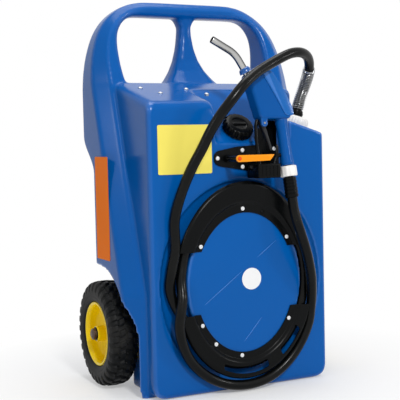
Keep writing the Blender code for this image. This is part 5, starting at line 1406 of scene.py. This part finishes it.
def pump():
    """The pump's ribbed cap and the outlet fitting."""
    origin, axis = pump_point(), pump_axis()
    r, top = PUMP_CAP_RADIUS, PUMP_CAP_HEIGHT
    spigot = PUMP_BORE - 0.001
    levels = [(-0.012, spigot, 0), (GAP, spigot, 0), (GAP, r - 0.0022, 0.3), (GAP + 0.001, r - 0.0008, 0.9),
              (GAP + 0.0022, r, 1), (top + 0.005, r - 0.0006, 1), (top + 0.0068, r - 0.0014, 0.8),
              (top + 0.0084, r - 0.0034, 0.3), (top + 0.0092, r - 0.006, 0), (top + 0.0096, r - 0.009, 0)]
    lid = ribbed("pump_lid", levels, 30, 8, 0.0012, origin, axis)
    well = turned("well",
                  [(0, top), (0.0228, top), (0.0236, top + 0.0016), (0.0244, top + 0.007), (0.0262, top + 0.01),
                   (0.0262, top + 0.02), (0, top + 0.02)], origin, axis, 64)
    cut(lid, well)
    seat(lid, "white_plastic", ["pump_cap"], angle=32)
    base = top + GAP
    o = OUTLET_RADIUS
    end = base + OUTLET_HEIGHT
    fitting = turned("outlet_barrel",
                     [(0, end),
                      *beside(o, end, (-32, 0), (-22, -6), (-16, -22), (-16, -60), (0, -72), (0, -115), (-12, -122),
                              (-12, -145), (0, -152)), (o, base + 0.011), (o - 0.001, base + 0.0102),
                      (0, base + 0.0102)], origin, axis, 56)
    nut = turned("nut", [(0, base + 0.0104), *beside(o, base, (8, 104), (30, 90), (30, 14), (12, 0)), (0, base)],
                 origin, axis, 8)
    join(fitting, nut)
    seat(fitting, "black_plastic", ["pump_outlet"], angle=30)


# Wheels

def wheel(side, word):
    """One tyre with moulded lugs and one pressed rim."""
    hub = Vector((side * WHEEL_CENTRE_X, AXLE_Y, TYRE_RADIUS))
    out = Vector((side, 0, 0))
    half, crown, bead = TYRE_WIDTH / 2 - TYRE_SLACK, TYRE_RADIUS, RIM_RADIUS
    line = [(bead + GAP, -half + 0.009), *beside(bead, -half, (40, 45), (120, 16), (220, 3), (340, 0)),
            *beside(crown, -half, (-180, 12), (-90, 40), (-40, 90), (-18, 160), (-4, 260))]
    line += [(crown, 0)] + [(radius, -along) for radius, along in reversed(line)]
    profile, _ = smooth_route([Vector((radius, along, 0)) for radius, along in line], 0.0021)
    steps = TREAD_PERIODS * STEPS_PER_PERIOD
    rings = []
    for i in range(steps):
        turn = 2 * pi * i / steps
        row = []
        for point in profile:
            radius, along = point.x, point.y
            across = abs(along) / half
            hand = 0.25 if along > 0 else 0.0

            def lug(offset, slant):
                frac = (turn * TREAD_PERIODS / (2 * pi) + hand + offset - slant * across) % 1.0
                return step_up(frac, 0.02, 0.13) * step_up(1 - frac, 0.32, 0.43)

            inner_row = lug(0.0, 0.5) * step_up(0.47 - across, 0.0, 0.05) * step_up(across, 0.015, 0.06)
            outer_row = lug(0.5, 0.25) * step_up(across, 0.5, 0.56)
            shoulder = step_up(radius, crown - 0.031, crown - 0.024)
            ring = 0.0008 * step_up(0.0022 - abs(radius - (bead + 0.0165)), 0.0, 0.0012)
            depth = (TREAD_DEPTH + 0.0012 * step_up(across, 0.5, 0.8)) * (1 - max(inner_row, outer_row)) * shoulder
            away = ring * (1 if along > 0 else -1)
            r = radius - depth
            row.append(hub + out * (along - away) + Vector((0, r * cos(turn), r * sin(turn))))
        rings.append(row)
    seat(loft(f"tread_{word}", rings, True), "tyre_rubber", [f"tyre_{word}"], f"wheel_{word}", 50)

    rim_half, web = half - 0.006, 0.004
    bore = AXLE_RADIUS + RUNNING_CLEARANCE + BUSH_WALL + GAP
    bowl, _ = smooth_route([Vector(p + (0,))
                            for p in ((bead - 0.008, rim_half - 0.0025), (bead - 0.0105, rim_half - 0.009),
                                      (bead - 0.012, 0.012), (bead - 0.0145, 0.004), (bead - 0.022, -0.0045),
                                      (bead - 0.031, -0.0095), (bead - 0.04, -0.012), (HUB_RADIUS + 0.008, -0.0138),
                                      (HUB_RADIUS + 0.003, -0.0135), (HUB_RADIUS + 0.0002, -0.0105),
                                      (HUB_RADIUS - 0.001, -0.004))], 0.0025)
    front = beside(bead, rim_half, (0, -20), (-6, 0), (-22, 10), (-45, 10), (-66, -2))
    front += [(point.x, point.y) for point in bowl]
    front += [(HUB_RADIUS - 0.002, HUB_LENGTH / 2 - 0.0015), (HUB_RADIUS - 0.0032, HUB_LENGTH / 2)]
    rear_side = [(bore, HUB_LENGTH / 2), (bore, -HUB_LENGTH / 2), (HUB_RADIUS - 0.002, -HUB_LENGTH / 2),
                 (HUB_RADIUS, -0.018 - web), (HUB_RADIUS + 0.004, -0.014 - web), (bead - 0.036, -0.012 - web),
                 (bead - 0.014, -0.012), *beside(bead, -rim_half, (-80, 20), (-40, -10), (0, 0))]
    rim = turned(f"rim_shell_{word}", front + rear_side, hub, out, 96)
    valve = hub + Vector((0, VALVE_FROM_HUB, 0))
    cut(rim, rod("hole", valve - out * 0.03, valve + out * 0.02, VALVE_RADIUS + GAP, 24))
    seat(rim, "yellow_rim", [f"rim_{word}"], f"wheel_{word}", 32)
    stub = turned(f"valve_stub_{word}", tenths((0, 40), (20, 40), (26, 34), (26, 10), (35, 4), (35, -160), (0, -160)),
                  valve, out, 24)
    seat(stub, "black_plastic", [f"valve_stem_{word}"], f"wheel_{word}", 32)


def kept_nodes():
    """Better materials for the CAD pieces whose shape stays."""
    kept = {"riser_hose": "clear_hose", "submersible_pump": "black_plastic", "pump_strainer": "steel",
            "trigger_pin": "steel", "latch_pin": "latch_red", "filler_seal": "rubber", "axle": "zinc_steel"}
    for word in ("left", "right"):
        kept.update({f"wheel_bush_{word}": "black_plastic", f"axle_washer_{word}": "zinc_steel",
                     f"axle_cap_{word}": "dark_steel", f"axle_bracket_{word}": "zinc_steel"})
    for node, slot in kept.items():
        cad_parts[node].material_slots[0].material = MATTER[slot]


# Studio

def studio():
    """A pale floor that runs out into white, a white surrounding and soft lights."""
    work = bmesh.new()
    bmesh.ops.create_grid(work, x_segments=8, y_segments=8, size=9)
    floor = as_drawn("floor", work)
    floor.location = (0, 0, -0.0005)
    made = Finish("floor", {"Roughness": 0.9, "Specular IOR Level": 0.1})
    made.feed("Base Color", made.blend(made.noise(2.0, 2.0), (0.95, 0.95, 0.95, 1), (0.98, 0.98, 0.98, 1)))
    far = made.node("ShaderNodeVectorMath", {"operation": "LENGTH"}, {0: made.place}, "Value")
    matt, glow = Signal(made.tree, made.shader.outputs[0]), made.node("ShaderNodeEmission", {}, {})
    mix = made.mixed((far * 1.1 + 0.05).held() * made.white_rays(), matt, glow)
    made.tree.links.new(mix.socket, made.tree.nodes["Material Output"].inputs["Surface"])
    floor.data.materials.append(made.material)

    world = bpy.data.worlds.new("studio")
    bpy.context.scene.world = world
    world.use_nodes = True
    world.node_tree.nodes.clear()
    sky = Nodes(world.node_tree)
    soft = sky.node("ShaderNodeBackground", {}, {"Color": (0.97, 0.98, 1.0, 1), "Strength": 0.3})
    plain = sky.node("ShaderNodeBackground", {}, {"Color": (1, 1, 1, 1), "Strength": 1.0})
    sky.node("ShaderNodeOutputWorld", {}, {"Surface": sky.mixed(sky.white_rays(), soft, plain)})

    for name, place, aim, size, power in LAMPS:
        data = bpy.data.lights.new(name, "AREA")
        data.shape = "SQUARE"
        data.size = size
        data.energy = power
        lamp = linked(name, data)
        lamp.location = place
        lamp.rotation_euler = (Vector(aim) - Vector(place)).to_track_quat("-Z", "Y").to_euler()


def main():
    """Make everything, the camera and the hose first."""
    camera()
    hose()
    tank_skin()
    shelf_inserts()
    mould_lines()
    guard("guard_upper", "hose_guard_upper", UPPER_GUARD_OUTER_B, UPPER_GUARD_END, radians(2), radians(178), ())
    guard("guard_lower", "hose_guard_lower", LOWER_GUARD_OUTER_B, LOWER_GUARD_END, radians(182), radians(358),
          LOWER_GUARD_SLOTS)
    screws()
    plates()
    nozzle()
    holder()
    filler_cap()
    pump()
    for side, word in ((-1, "left"), (1, "right")):
        wheel(side, word)
    kept_nodes()
    studio()
    bpy.context.scene.view_settings.view_transform = "Standard"
    bpy.context.view_layer.update()


main()
